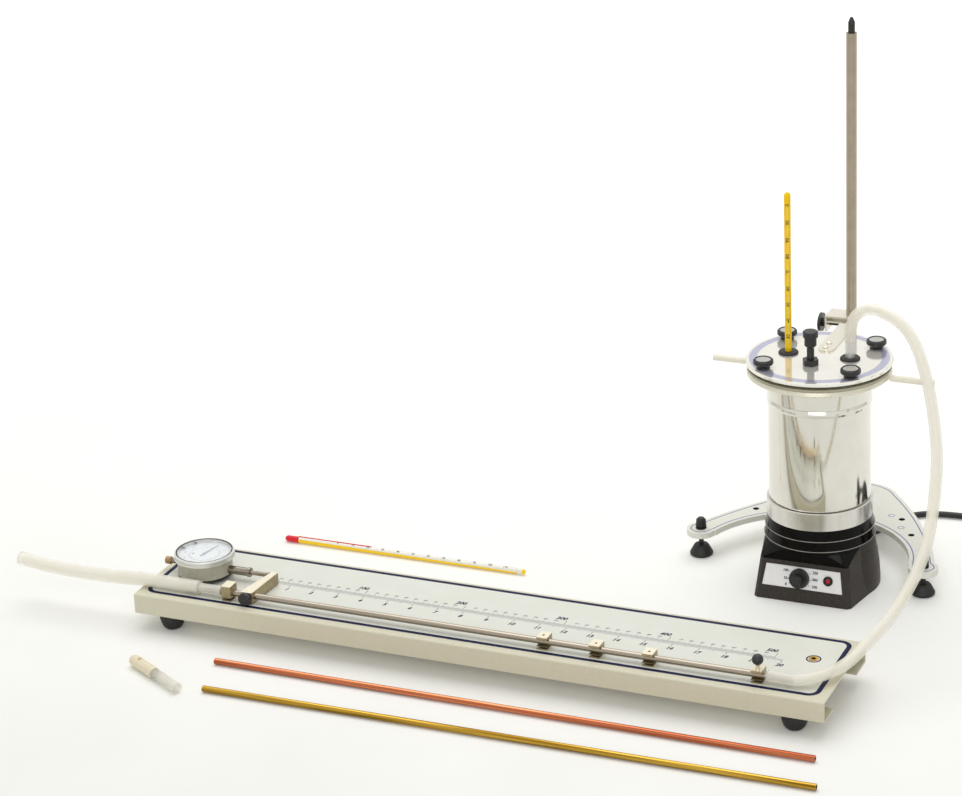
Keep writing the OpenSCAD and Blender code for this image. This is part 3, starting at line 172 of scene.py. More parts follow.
def rescaled(tree, value, start, end, low=0.0, high=1.0):
    """Runs from low to high while a value runs from start to end, and holds still outside them."""
    node = tree.nodes.new("ShaderNodeMapRange")
    for socket, number in (("From Min", start), ("From Max", end), ("To Min", low), ("To Max", high)):
        node.inputs[socket].default_value = number
    tree.links.new(value, node.inputs["Value"])
    return node.outputs["Result"]


def spread(tree, factor, low, high):
    return rescaled(tree, factor, NOISE_LOW, NOISE_HIGH, low, high)


def relief(tree, shader, factor, strength):
    node = tree.nodes.new("ShaderNodeBump")
    node.inputs["Strength"].default_value = strength
    node.inputs["Distance"].default_value = RELIEF_DEPTH
    tree.links.new(factor, node.inputs["Height"])
    tree.links.new(node.outputs["Normal"], shader.inputs["Normal"])


def set_sockets(shader, values):
    for key, value in values.items():
        shader.inputs[key.replace("_", " ")].default_value = value


def surface(name, dark, light, rough, metal=0.0, grain=400, stretch=(1, 1, 1), bump=0.1, **sockets):
    """A finish between two close colours, with rough = (low, high)."""
    mat, tree, shader = new_material(name)
    tree.links.new(two_tones(tree, noise(tree, grain, stretch), dark, light), shader.inputs["Base Color"])
    tree.links.new(spread(tree, noise(tree, grain * 0.37, stretch), *rough), shader.inputs["Roughness"])
    set_sockets(shader, {"Metallic": metal, **sockets})
    if bump:
        relief(tree, shader, noise(tree, grain * 3, stretch, 2), bump)
    return mat


def beyond(tree, direction, edge, soft=0.0001):
    """Factor that turns from 0 to 1 where a point passes a plane of the frame."""
    along = tree.nodes.new("ShaderNodeVectorMath")
    along.operation = "DOT_PRODUCT"
    along.inputs[1].default_value = direction
    tree.links.new(object_point(tree), along.inputs[0])
    return rescaled(tree, along.outputs["Value"], edge - soft, edge + soft)


def round_axis(tree, x, y, radius, soft=0.00005):
    """Factor that is 1 within a radius of an upright axis."""
    flat_part, away = (tree.nodes.new("ShaderNodeVectorMath") for _ in range(2))
    flat_part.operation, away.operation = "MULTIPLY", "DISTANCE"
    flat_part.inputs[1].default_value = (1, 1, 0)
    away.inputs[1].default_value = (x, y, 0)
    tree.links.new(object_point(tree), flat_part.inputs[0])
    tree.links.new(flat_part.outputs["Vector"], away.inputs[0])
    return rescaled(tree, away.outputs["Value"], radius + soft, radius - soft)


def product(tree, a, b):
    node = tree.nodes.new("ShaderNodeMath")
    node.operation = "MULTIPLY"
    tree.links.new(a, node.inputs[0])
    tree.links.new(b, node.inputs[1])
    return node.outputs["Value"]


def blended(tree, factor, a, b):
    node = tree.nodes.new("ShaderNodeMix")
    node.data_type = "RGBA"
    colours = [i for i in node.inputs if i.type == "RGBA"]
    tree.links.new(factor, node.inputs["Factor"])
    tree.links.new(a, colours[0])
    tree.links.new(b, colours[1])
    return next(o for o in node.outputs if o.type == "RGBA")


def mask_of(tree, planes):
    """The product of the factors of several planes; ("axis", x, y, radius) is a round one."""
    parts = [round_axis(tree, *plane[1:]) if plane[0] == "axis" else beyond(tree, *plane) for plane in planes]
    mask = parts[0]
    for part in parts[1:]:
        mask = product(tree, mask, part)
    return mask


ZONE_ROUGH = 0.06  # how much the roughness of one zone varies


def zoned(name, first, others, grain=500, bump=0.05, **sockets):
    """A surface of several zones. first = (dark, light, rough, metal); others add (planes, ...) to it."""
    mat, tree, shader = new_material(name)
    grey = noise(tree, grain)

    def looks(dark, light, rough, metal):
        return (two_tones(tree, grey, dark, light), spread(tree, grey, rough, rough + ZONE_ROUGH),
                spread(tree, grey, metal, metal))

    now = looks(*first)
    for planes, *look in others:
        mask = mask_of(tree, planes)
        now = [blended(tree, mask, a, b) for a, b in zip(now, looks(*look))]
    for value, socket in zip(now, ("Base Color", "Roughness", "Metallic")):
        tree.links.new(value, shader.inputs[socket])
    set_sockets(shader, sockets)
    if bump:
        relief(tree, shader, noise(tree, grain * 3), bump)
    return mat


def milled(node):
    """Nickel with painted light on its top and painted shade on its sides; the change is just under the top
    of the node.
    """
    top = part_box(node)[1][2]
    return zoned(f"milled_{node}", ("#9C8F70", "#ADA07F", 0.27, 0.8), [
        # pale zone on the top: painted light; the darker first colours are painted shade on the sides
        ([((0, 0, 1), top - 0.0003)], "#F4EBD4", "#F6EDD6", 0.25, 0.8),
    ], grain=300, bump=0.0)


def wear(node, mat):
    """Gives a carried-over solid its material."""
    slots = NODES[node].data.materials
    slots.clear()
    slots.append(mat)


# %% [markdown]
# ## Finishes
# One finish for each real material of the set: powder coat, rubber, nickel, copper, silicone. A finish for
# each object would also do, but a shared one keeps equal pieces equal. Glass and silicone are partly
# transparent by alpha, because true refraction makes such thin walls dark and noisy.
# %% Materials
BEIGE = surface("beige_powder_coat", "#D3CEB6", "#DAD5BF", (0.38, 0.5), grain=900, bump=0.12)
PLATE = surface("printed_plate", "#DEDFD4", "#E1E2D8", (0.3, 0.33), grain=40, bump=0.0)
RUBBER = surface("black_rubber", "#141414", "#1E1D1C", (0.5, 0.65), grain=900, bump=0.2)
PLASTIC = surface("black_plastic", "#1A1A1B", "#242425", (0.32, 0.42), grain=900, bump=0.08)
CORD = surface("black_cord_sheath", "#0E0E0F", "#171718", (0.4, 0.5), grain=1500, bump=0.1)
GAUGE_GREY = surface("gauge_enamel", "#B6B3A3", "#BFBCAD", (0.26, 0.32), grain=300, bump=0.0)
CHROME = surface("satin_chrome", "#DFDFDB", "#E5E5E1", (0.3, 0.34), 0.6, 60, bump=0.0)
STEEL = surface("drawn_steel", "#9C9284", "#AAA092", (0.2, 0.3), 1.0, 500, (0.05, 1, 1), bump=0.03)
DARK_STEEL = surface("burnished_steel", "#7B7468", "#A39B8D", (0.14, 0.22), 1.0, 500, (0.1, 1, 1), bump=0.0)
KNURLED = surface("knurled_bronze", "#7A6242", "#BFA37C", (0.3, 0.4), 0.8, 700, bump=0.35)
BRACKET = surface("bracket_nickel", "#E4DFD1", "#E8E3D6", (0.27, 0.29), 0.6, 40, bump=0.0)
# The light and dark streaks along X on copper and brass are painted highlights and painted dark reflections.
COPPER = surface("copper_painted_streak_highlights", "#8A3C20", "#DC8A62", (0.1, 0.2), 1.0, 420, (0.008, 1, 1), bump=0.0)
BRASS = surface("brass_painted_streak_highlights", "#785712", "#D6AE4A", (0.1, 0.22), 1.0, 420, (0.008, 1, 1), bump=0.0)
TURNED = surface("turned_aluminium", "#CFCCC6", "#DCDAD5", (0.2, 0.3), 1.0, 90, (1, 1, 0.05), bump=0.0)
LID = surface("polished_lid", "#F4F2E9", "#F8F6EE", (0.08, 0.11), 0.6, 90, bump=0.0)
PANEL = surface("white_panel", "#F1F1F3", "#F6F6F7", (0.3, 0.36), grain=200, bump=0.0)
DIAL = surface("white_dial", "#EFF3F4", "#F3F6F7", (0.45, 0.47), grain=60, bump=0.0)
SLEEVE = surface("beige_sleeve", "#F0EBDA", "#F6F1E2", (0.3, 0.4), grain=600, bump=0.03)
NAVY = surface("navy_ink", "#080B36", "#0D113F", (0.4, 0.5), grain=300, bump=0.0, Specular_IOR_Level=0.15)
GREY_INK = surface("grey_ink", "#63677A", "#6E7284", (0.4, 0.5), grain=800, bump=0.0, Specular_IOR_Level=0.2)
VIOLET = surface("violet_ink", "#5D5E96", "#6B6CA2", (0.35, 0.45), grain=800, bump=0.0)
LILAC = surface("lilac_ink", "#B9B9D2", "#C2C2D8", (0.12, 0.2), 0.5, 400, bump=0.0)
BLACK_INK = surface("black_ink", "#191A20", "#222329", (0.4, 0.5), grain=800, bump=0.0,
                    Specular_IOR_Level=0.2)
PALE_INK = surface("pale_grey_ink", "#BCC4CB", "#C5CCD2", (0.4, 0.5), grain=300, bump=0.0)
BLUED = surface("blued_hand", "#AEB8C2", "#B8C2CB", (0.3, 0.4), grain=300, bump=0.0)
# Painted highlight: a pale grey for the light along the edges of the heater's neck.
EDGE_HIGHLIGHT = surface("painted_edge_highlight", "#8A8681", "#A5A19B", (0.15, 0.25), grain=60, bump=0.0)
DARK_METAL = surface("dark_lacquer", "#2B2B2B", "#343434", (0.35, 0.45), 0.3, 600, bump=0.05)
# The gasket is darker than its own grey: painted shade for the shadow under the lid's edge.
GASKET_PAINTED_SHADE = surface("gasket_painted_shade", "#4E4B43", "#5A574E", (0.5, 0.6), grain=300, bump=0.0)
LIP_METAL = surface("rolled_lip", "#E2DECB", "#E9E5D4", (0.25, 0.32), 0.4, 120, bump=0.0)
NUT_TOP = surface("nut_top", "#B5B5B1", "#C6C6C2", (0.15, 0.22), 0.6, 300, bump=0.0)
GLASS = surface("clear_glass", "#F5F8F8", "#FAFCFC", (0.03, 0.03), grain=20, bump=0.0, Alpha=0.12)
TUBE_GLASS = surface("tube_glass", "#F1F4F2", "#F8FAF8", (0.03, 0.06), grain=60, bump=0.0, Alpha=0.4)
SILICONE = surface("milky_silicone", "#FEFAEC", "#FFFCF2", (0.2, 0.26), grain=40, bump=0.0, Alpha=0.5)
CLEAR = surface("clear_sleeve", "#F6F3E6", "#FAF7EC", (0.12, 0.18), grain=60, bump=0.0, Alpha=0.45)
RED = surface("red_liquid", "#D8001E", "#E60428", (0.3, 0.4), grain=500, bump=0.0)
YELLOW = surface("yellow_enamel", "#FFCC00", "#FFD608", (0.3, 0.36), grain=200, bump=0.0,
                 Specular_IOR_Level=0.25)
PALE_LINE = surface("pale_glass_line", "#F7E9A6", "#FBF1C0", (0.2, 0.3), grain=300, bump=0.0)
RUBBER_BEIGE = surface("beige_rubber", "#E3D8B8", "#EBE2C8", (0.4, 0.5), grain=500, bump=0.08)
AMBER = surface("amber_port", "#A8703A", "#B87E44", (0.3, 0.4), grain=500, bump=0.0)

# %% [markdown]
# ## Finishes of several zones
# Some solids carry two or three finishes on the real set: the heater's moulding is glossy above and matt
# round its front, the plug has metal pins, the spare thermometer a yellow back. Splitting the mesh would
# change the solid, so one material switches its colour, roughness and metal at a plane or an axis instead.
# %% Zones
LEAN = math.radians(12)  # of the heater's front
FRONT_OUT = 57.4  # millimetres from the heater's axis to the foot of its front
OUT = (0.0, -math.cos(LEAN), math.sin(LEAN))
front_foot = Vector(OUT).dot(at(HX, HY - FRONT_OUT, 0))


def side_wall(turn):
    """The plane of the heater's largest flat face on one side (turn 1 or -1), 0.5 mm under its surface."""
    mesh = NODES["heater_housing"].data
    wall = max((f for f in mesh.polygons if turn * f.normal.x > 0.7), key=lambda f: f.area)
    return tuple(wall.normal), wall.normal.dot(wall.center) - 0.0005


DOWN, UP = (0, 0, -1), (0, 0, 1)
FRAME_HIGH, SHOULDER = 0.0377, 0.0502  # heights where the matt front and the matt sides end
MATT = ("#3B3734", "#45403C", 0.34, 0.0)
HOUSING = zoned("black_housing", ("#070605", "#0B0A09", 0.08, 0.0), [
    ([(DOWN, -FRAME_HIGH)], *MATT),
    ([side_wall(1), (DOWN, -SHOULDER)], *MATT),
    ([side_wall(-1), (DOWN, -SHOULDER)], *MATT),
], Specular_IOR_Level=0.12)
# The walls of the stand's holes are painted near black: painted shade inside the holes.
STAND_HOLES = [at(HX + x, HY + y, 0) for x, y in ((-89.3, 75.1), (52.8, 94.0), (71.3, 62.0))]
STAND = zoned("pale_stand_paint_painted_hole_shade", ("#DFDFD4", "#E8E8DE", 0.3, 0.0), [
    ([("axis", hole.x, hole.y, 0.0031)], "#141412", "#1B1B18", 0.8, 0.0) for hole in STAND_HOLES
], grain=700, bump=0.05)
LAMP = zoned("pilot_lamp_red", ("#16120F", "#1C1815", 0.25, 0.0), [
    ([(OUT, front_foot + 0.0013, 0.00005)], "#B0122C", "#CC1E3A", 0.1, 0.0),
], bump=0.0)
ROD_STEEL = zoned("brushed_rod", ("#A79C8B", "#B0A594", 0.33, 1.0), [
    ([(UP, 0.506)], "#2A2826", "#34312E", 0.4, 0.3),
], grain=120, bump=0.0)
VESSEL = zoned("polished_vessel_painted_flange_shade", ("#D9D7CE", "#DEDCD4", 0.05, 1.0), [
    # grey-olive band on the flange above 216.2 mm: painted shade under the lid
    ([(UP, 0.2162)], "#A8A48E", "#B1AD98", 0.3, 0.2),
    ([(UP, 0.2262)], "#C79F5E", "#D8B070", 0.25, 1.0),
], grain=60, bump=0.0)
ball_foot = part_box("clamp_screw")[1][2] - 0.0098
CLAMP_SCREW = zoned("ball_knob_and_screw", ("#1A1A1B", "#242425", 0.32, 0.0), [
    ([(DOWN, -ball_foot)], "#C9C4B6", "#D6D1C4", 0.2, 1.0),
], grain=900, bump=0.0)
pins_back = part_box("plug")[0][1] + 0.0189
PLUG = zoned("plug_rubber_and_pins", ("#121213", "#1B1B1C", 0.42, 0.0), [
    ([((0, -1, 0), -pins_back)], "#B9B5A8", "#C7C3B7", 0.22, 1.0),
])
BACK = (0, -0.82, -0.57)  # the way the spare thermometer's yellow back faces
back_depth = Vector(BACK).dot(at(-292, 160.4, 3.1)) + 0.0018
SPARE = zoned("spare_thermometer_glass", ("#EFEDE2", "#F6F4EA", 0.14, 0.0), [
    ([(BACK, back_depth)], "#FFD000", "#FFD800", 0.4, 0.0),
    ([((-1, 0, 0), -at(-277, 0, 0).x)], "#D8001E", "#E60428", 0.3, 0.0),
    ([((1, 0, 0), at(-36.5, 0, 0).x)], "#FFD000", "#FFDA10", 0.4, 0.0),
], bump=0.0)
print("finishes:", len(bpy.data.materials))


# %% [markdown]
# ## Tubes and cords
# A hose is a round wall along a free curve. A curve object with a bevel would be shorter to write, but it
# has no inner wall and no cut ends. So each hose or cord is one mesh swept along the same route as its
# solid, and the frame of each ring is carried along the path without twist.
# %% Sweep
def ring_frames(path):
    normal = Vector((0, 0, 1))
    out = []
    for i, p in enumerate(path):
        t = (path[min(i + 1, len(path) - 1)] - path[max(i - 1, 0)]).normalized()
        normal = (normal - normal.dot(t) * t).normalized()
        out.append((p, normal, t.cross(normal)))
    return out


def mesh_piece(name, verts, faces, mat, body=ROOT):
    """A smooth-shaded object that rides on a body."""
    mesh = bpy.data.meshes.new(name)
    mesh.from_pydata([tuple(v) for v in verts], [], faces)
    mesh.materials.append(mat)
    mesh.polygons.foreach_set("use_smooth", [True] * len(mesh.polygons))
    mesh.validate()
    obj = bpy.data.objects.new(name, mesh)
    bpy.context.scene.collection.objects.link(obj)
    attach(obj, body)
    return obj


def tube(name, path, radius, mat, body=ROOT, bore=None, sides=28):
    """A closed tube along a path; with a bore it is a hose with flat cut ends."""
    rings = ring_frames(path)
    layers = [radius] if bore is None else [radius, bore]
    verts, faces = [], []
    n = len(rings)
    angles = [2 * math.pi * k / sides for k in range(sides)]
    for r in layers:
        for p, u, w in rings:
            verts += [p + r * (math.cos(a) * u + math.sin(a) * w) for a in angles]
    for layer in range(len(layers)):
        start = layer * n * sides
        for i in range(n - 1):
            for k in range(sides):
                a = start + i * sides + k
                b = start + i * sides + (k + 1) % sides
                quad = (a, b, b + sides, a + sides)
                faces.append(quad if layer else quad[::-1])
    if bore is None:
        faces.append(tuple(range(sides)))
        faces.append(tuple((n - 1) * sides + k for k in reversed(range(sides))))
    else:
        for i, flip in ((0, False), (n - 1, True)):
            for k in range(sides):
                a = i * sides + k
                b = i * sides + (k + 1) % sides
                quad = (a, b, b + n * sides, a + n * sides)
                faces.append(quad[::-1] if flip else quad)
    return mesh_piece(name, verts, faces, mat, body)


# %% [markdown]
# ## Power cord
# It leaves the back of the heater through its strain relief, drops to the table and runs out of the
# picture. The rest of its 1.5 m could lie anywhere. Two flat layers of a spiral beside the view are what a
# user winds by hand, and no turn cuts another. The plug is on its end.
# %% Power cord
def coil_path(middle, outer, step, layer_turns, turns, per_turn, climb):
    """A flat spiral that winds in for layer_turns, climbs on top of itself and winds out again."""
    points = []
    for i in range(round(turns * per_turn) + 1):
        t = i / per_turn
        radius = outer - step * (t if t <= layer_turns else 2 * layer_turns - t)
        rise = min(1, max(0, (t - layer_turns + climb) / (2 * climb)))
        a = math.radians(90 - 360 * t)
        points.append(at(middle[0] + radius * math.cos(a), middle[1] + radius * math.sin(a),
                         middle[2] + step * rise))
    return points


CORD_ROUTE = [
    (257, 316.871, 14), (257, 320.871, 14), (257, 332, 12.5), (258, 341, 8.5), (260, 350, 5),
    (262, 359, 3.4), (265, 369, 3.2), (269, 380, 3.2), (274, 391, 3.2), (282, 400, 3.2), (292, 407, 3.2),
    (304, 411, 3.2), (316, 413, 3.2), (330, 414, 3.2), (345, 414, 3.2), (360, 413.5, 3.2),
    (374, 413, 3.2), (387, 413, 3.2), (400, 413, 3.2),
]
relief_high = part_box("strain_relief")[1]
lead = smooth([at(*p) for p in CORD_ROUTE], 3)
lead[0] = Vector((at(257, 0, 0).x, relief_high[1], at(0, 0, 14).z))
coil = coil_path((400, 370, 3.2), outer=43, step=6.6, layer_turns=3, turns=6.25, per_turn=24, climb=0.3)
tail = [coil[-1] + Vector((0, -a / 1000, b / 1000)) for a, b in ((10, 0.8), (20, 3.2), (30, 6.6), (38, 8.7))]
cord_path = lead[:-1] + coil + tail
power_cord = tube("power_cord_sheath", cord_path, 0.006 / 2, CORD, sides=16)
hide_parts("power_cord", "cord_coil")
print("power cord, m:", round(length_of(cord_path), 3))

# %% [markdown]
# ## Hoses
# The inlet hose goes from the glass tube on the lid, in a free arch, down to the right end of the specimen
# tube. The outlet hose leaves the left end. Both are milky silicone with a visible wall. A simulation could
# hang them, but the photograph shows their routes, so a smooth curve goes through points that match it.
# %% Hoses
INLET = [
    (280, TUBE_Y, TUBE_Z), (292, TUBE_Y, TUBE_Z), (305, TUBE_Y, TUBE_Z), (317, -36, 44), (327, -26, 45),
    (335, -11, 45), (341, 6, 46), (346, 22, 50), (353.5, 36, 58), (362, 51, 68), (368, 68, 79),
    (373, 86, 92), (376.5, 104, 107), (377, 122, 123), (375.5, 139, 140), (373, 155, 157),
    (369.5, 170, 174), (364, 184, 190), (357.5, 197, 206), (351, 208, 221), (343, 219, 236),
    (334.5, 228, 250), (324, 236, 262), (310.5, 241, 271), (293.5, 245, 276.5), (281.5, 246.5, 276.5),
    (273, 246.5, 271), (268, 246.5, 263), (266, 246.8, 253.8), (265.5, 246.8, 248.3), (265.5, 246.8, 243.8),
]
OUTLET = [
    (-276, TUBE_Y, TUBE_Z), (-290, TUBE_Y, TUBE_Z), (-305, TUBE_Y, TUBE_Z), (-320, -41, 43),
    (-336, -41, 43), (-352, -41.5, 42.2), (-368, -42, 41.4), (-384, -42, 41), (-400, -42, 40.8),
    (-416, -42, 41), (-432, -42, 41.6), (-447, -42, 42.6), (-460, -41.5, 43.8), (-472, -41, 45),
]
inlet_path = smooth([at(*p) for p in INLET], 4)
inlet = tube("inlet_hose_wall", inlet_path, 0.0054, SILICONE, bore=0.0032)
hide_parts("inlet_hose")
outlet_path = smooth([at(*p) for p in OUTLET], 3)
outlet = tube("outlet_hose_wall", outlet_path, 0.0066, SILICONE, "specimen_line", bore=0.0049)
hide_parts("outlet_hose")
print("hoses, m:", round(length_of(inlet_path), 3), round(length_of(outlet_path), 3))

# %% [markdown]
# ## Print and marks
# The scales are printed on the plate and the dial. An image would blur close up, so the print is geometry:
# a film of ink 0.04 mm thick, one object for each ink. Rows and rings of equal bars come from Geometry
# Nodes, with a start, a step and a count, so a change of the scale is a change of a number.
# %% Geometry Nodes for rows and rings of bars
def evaluated_mesh(obj):
    return bpy.data.meshes.new_from_object(obj.evaluated_get(bpy.context.evaluated_depsgraph_get()))


def bars_group(name, ring):
    """Bars along a line, or round a circle, with named inputs."""
    tree = bpy.data.node_groups.new(name, "GeometryNodeTree")
    tree.interface.new_socket("Geometry", in_out="OUTPUT", socket_type="NodeSocketGeometry")
    ids = {}
    for label, kind in (("Count", "Int"), ("Start", "Vector"), ("Step", "Vector"), ("Radius", "Float"),
                        ("Bar", "Vector"), ("Ink", "Material")):
        socket = tree.interface.new_socket(label, in_out="INPUT", socket_type="NodeSocket" + kind)
        ids[label] = socket.identifier
    new, link = tree.nodes.new, tree.links.new
    given, result = new("NodeGroupInput"), new("NodeGroupOutput")
    bar, place = new("GeometryNodeMeshCube"), new("GeometryNodeInstanceOnPoints")
    link(given.outputs["Bar"], bar.inputs["Size"])
    link(bar.outputs["Mesh"], place.inputs["Instance"])
    real, ink = new("GeometryNodeRealizeInstances"), new("GeometryNodeSetMaterial")
    if ring:
        line = new("GeometryNodeMeshCircle")
        link(given.outputs["Count"], line.inputs["Vertices"])
        link(given.outputs["Radius"], line.inputs["Radius"])
        index, part, turn, angle = (new(kind) for kind in (
            "GeometryNodeInputIndex", "ShaderNodeMath", "ShaderNodeMath", "ShaderNodeCombineXYZ"))
        part.operation, turn.operation = "DIVIDE", "MULTIPLY"
        turn.inputs[1].default_value = 2 * math.pi
        link(index.outputs["Index"], part.inputs[0])
        link(given.outputs["Count"], part.inputs[1])
        link(part.outputs["Value"], turn.inputs[0])
        link(turn.outputs["Value"], angle.inputs["Z"])
        link(angle.outputs["Vector"], place.inputs["Rotation"])
        shift = new("GeometryNodeTransform")
        link(given.outputs["Start"], shift.inputs["Translation"])
        link(real.outputs["Geometry"], shift.inputs["Geometry"])
        link(shift.outputs["Geometry"], ink.inputs["Geometry"])
    else:
        line = new("GeometryNodeMeshLine")
        line.mode = "OFFSET"
        link(given.outputs["Count"], line.inputs["Count"])
        link(given.outputs["Start"], line.inputs["Start Location"])
        link(given.outputs["Step"], line.inputs["Offset"])
        link(real.outputs["Geometry"], ink.inputs["Geometry"])
    link(line.outputs["Mesh"], place.inputs["Points"])
    link(place.outputs["Instances"], real.inputs["Geometry"])
    link(given.outputs["Ink"], ink.inputs["Material"])
    link(ink.outputs["Geometry"], result.inputs["Geometry"])
    return tree, ids


ROW, RING = bars_group("row_of_bars", False), bars_group("ring_of_bars", True)
FILM = 0.00004  # thickness of the ink, in metres
LIFT = Vector((0, 0, FILM / 2))  # from the plate to the middle of the film


def bars(group, ink, count, start, bar, step=(0, 0, 0), radius=0.0):
    """The mesh of one row or ring of bars. Sizes and places are in metres."""
    tree, ids = group
    holder = bpy.data.objects.new("holder", bpy.data.meshes.new("holder"))
    bpy.context.scene.collection.objects.link(holder)
    nodes = holder.modifiers.new("bars", "NODES")
    nodes.node_group = tree
    for label, value in (("Count", count), ("Start", tuple(start)), ("Step", tuple(step)),
                         ("Radius", radius), ("Bar", tuple(bar)), ("Ink", ink)):
        nodes[ids[label]] = value
    mesh = evaluated_mesh(holder)
    bpy.data.objects.remove(holder)
    return mesh


def row(ink, count, x, y, z, step, width, length):
    """Marks beside each other along the bench: x and y of the first mark's middle, in millimetres."""
    return bars(ROW, ink, count, at(x, y, z) + LIFT,
                (width / 1000, length / 1000, FILM), (step / 1000, 0, 0))


def ring_of_marks(ink, count, x, y, z, radius, width, length):
    """Marks that point to one middle, which lies at x and y."""
    return bars(RING, ink, count, at(x, y, z) + LIFT,
                (length / 1000, width / 1000, FILM), radius=radius / 1000)


print("row and ring groups:", [group.name for group, ids in (ROW, RING)])

# %% [markdown]
# ## Numbers and closed strips
# Numbers are printed in the same film. Text objects give clean digits of any height and slant, and are
# turned to mesh, because the export keeps meshes only. Borders, rings and discs are closed strips.
# %% Numerals and bands
DIGIT_SHARE = 0.7  # height of a digit over the size of its font


def numeral(text, height, slant=0.0, weight=0.0):
    """A number lying flat round the origin; height and weight (extra boldness) in millimetres."""
    curve = bpy.data.curves.new("numeral", "FONT")
    curve.body = text
    curve.size = height / (DIGIT_SHARE * 1000)
    curve.align_x, curve.align_y = "CENTER", "CENTER"
    curve.shear = slant
    curve.offset = weight / 1000
    curve.extrude = FILM / 2
    curve.resolution_u = 3
    obj = bpy.data.objects.new("numeral", curve)
    bpy.context.scene.collection.objects.link(obj)
    mesh = evaluated_mesh(obj)
    bpy.data.objects.remove(obj)
    bpy.data.curves.remove(curve)
    mesh.transform(Matrix.Translation(LIFT))
    return mesh


def placed(mesh, matrix):
    mesh.transform(matrix)
    return mesh


def flat(mesh, x, y, z, turn=0.0):
    return placed(mesh, Matrix.Translation(at(x, y, z)) @ Matrix.Rotation(math.radians(turn), 4, "Z"))


def band(outer, inner, z, thick=FILM):
    """The closed strip between two loops of the same number of points, in the plane z."""
    n = len(outer)
    verts = [(*p[:2], h) for h in (z, z + thick) for loop in (outer, inner) for p in loop]
    faces = []
    for k in range(n):
        a, b = k, (k + 1) % n
        faces += [(a, b, n + b, n + a)[::-1], (2 * n + a, 2 * n + b, 3 * n + b, 3 * n + a),
                  (a, b, 2 * n + b, 2 * n + a), (n + a, n + b, 3 * n + b, 3 * n + a)[::-1]]
    mesh = bpy.data.meshes.new("band")
    mesh.from_pydata(verts, [], faces)
    return mesh


def circle(x, y, radius, count):
    angles = [2 * math.pi * k / count for k in range(count)]
    return [at(x + radius * math.cos(a), y + radius * math.sin(a), 0) for a in angles]


def ring_band(x, y, z, inner, outer, thick=FILM, count=96):
    return band(circle(x, y, outer, count), circle(x, y, inner, count), z / 1000, thick)


def disc(x, y, z, radius, count=64):
    mesh = bpy.data.meshes.new("disc")
    loop = circle(x, y, radius, count)
    verts = [(*p[:2], h) for h in (z / 1000, z / 1000 + FILM) for p in loop]
    faces = [tuple(range(count))[::-1], tuple(range(count, 2 * count))]
    faces += [(k, (k + 1) % count, count + (k + 1) % count, count + k) for k in range(count)]
    mesh.from_pydata(verts, [], faces)
    return mesh


def rounded_loop(x0, x1, y0, y1, radius, steps=10):
    """A rectangle with round corners, anticlockwise, as a list of points."""
    out = []
    for cx, cy, start in ((x1, y1, 0), (x0, y1, 90), (x0, y0, 180), (x1, y0, 270)):
        mx = cx - radius if cx == x1 else cx + radius
        my = cy - radius if cy == y1 else cy + radius
        for k in range(steps + 1):
            a = math.radians(start + 90 * k / steps)
            out.append(at(mx + radius * math.cos(a), my + radius * math.sin(a), 0))
    return out


def joined(name, meshes, mat, body=ROOT):
    """Several meshes as one object of one material, riding on one body."""
    whole = bmesh.new()
    for mesh in meshes:
        whole.from_mesh(mesh)
        bpy.data.meshes.remove(mesh)
    for face in whole.faces:
        face.material_index = 0
        face.smooth = False
    mesh = bpy.data.meshes.new(name)
    whole.to_mesh(mesh)
    whole.free()
    mesh.materials.clear()
    mesh.materials.append(mat)
    obj = bpy.data.objects.new(name, mesh)
    bpy.context.scene.collection.objects.link(obj)
    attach(obj, body)
    return obj


print("print kit ready")

# %% [markdown]
# ## Scale plate
# A navy border runs round the plate. The millimetre scale reads to the back, the inch scale to the front,
# and both start under the left edge of the outlet guide.
# %% Plate print
PLATE_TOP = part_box("scale_plate")[1][2] * 1000
ZERO = -229.0  # x of both scales' zero
MM, INCHES, INCH = 500, 20, 25.4
MM_HIGH, MM_LOW, BASE, INCH_LOW = 12.6, 6.1, 4.2, -6.4  # y of the small numbers, marks, base line, inches
joined("plate_border", [
    band(rounded_loop(-330.7, 328.7, -52.4, 55.7, 11), rounded_loop(-326.3, 324.3, -48.1, 51.4, 6.6),
         PLATE_TOP / 1000),
    ring_band(304, 14.2, PLATE_TOP, 5.4, 6.8),
], NAVY)
marks = [row(GREY_INK, MM + 1, ZERO, MM_LOW, PLATE_TOP, 1, 0.32, 2.6),
         row(GREY_INK, MM // 5 + 1, ZERO, 7.9, PLATE_TOP, 5, 0.4, 1.0),
         row(GREY_INK, MM // 10 + 1, ZERO, 8.9, PLATE_TOP, 10, 0.45, 1.0),
         row(GREY_INK, 16 * INCHES + 1, ZERO, 2.6, PLATE_TOP, INCH / 16, 0.34, 2.0),
         row(GREY_INK, 2 * INCHES + 1, ZERO, 0.9, PLATE_TOP, INCH / 2, 0.42, 1.4),
         row(GREY_INK, 1, ZERO + INCHES * INCH / 2, BASE, PLATE_TOP, 1, INCHES * INCH, 0.3)]
for k in range(1, MM // 10):
    if k % 10:
        marks.append(flat(numeral(str(10 * (k % 10)), 2.7, 0.2, 0.05), ZERO + 10 * k, MM_HIGH, PLATE_TOP))
joined("plate_fine_marks", marks, GREY_INK)
marks = [row(NAVY, MM // 100 + 1, ZERO, 12.0, PLATE_TOP, 100, 0.4, 6.4),
         row(NAVY, INCHES + 1, ZERO, 0.2, PLATE_TOP, INCH, 0.45, 4.4)]
for k in range(1, MM // 100 + 1):
    marks.append(flat(numeral(str(100 * k), 4.8, 0.25, 0.24), ZERO + 100 * k - 6.5, 18.2, PLATE_TOP))
for k in range(1, INCHES + 1):
    marks.append(flat(numeral(str(k), 4.6, 0.25, 0.24), ZERO + INCH * k, INCH_LOW, PLATE_TOP))
joined("plate_numerals", marks, NAVY)
print("scale plate printed")

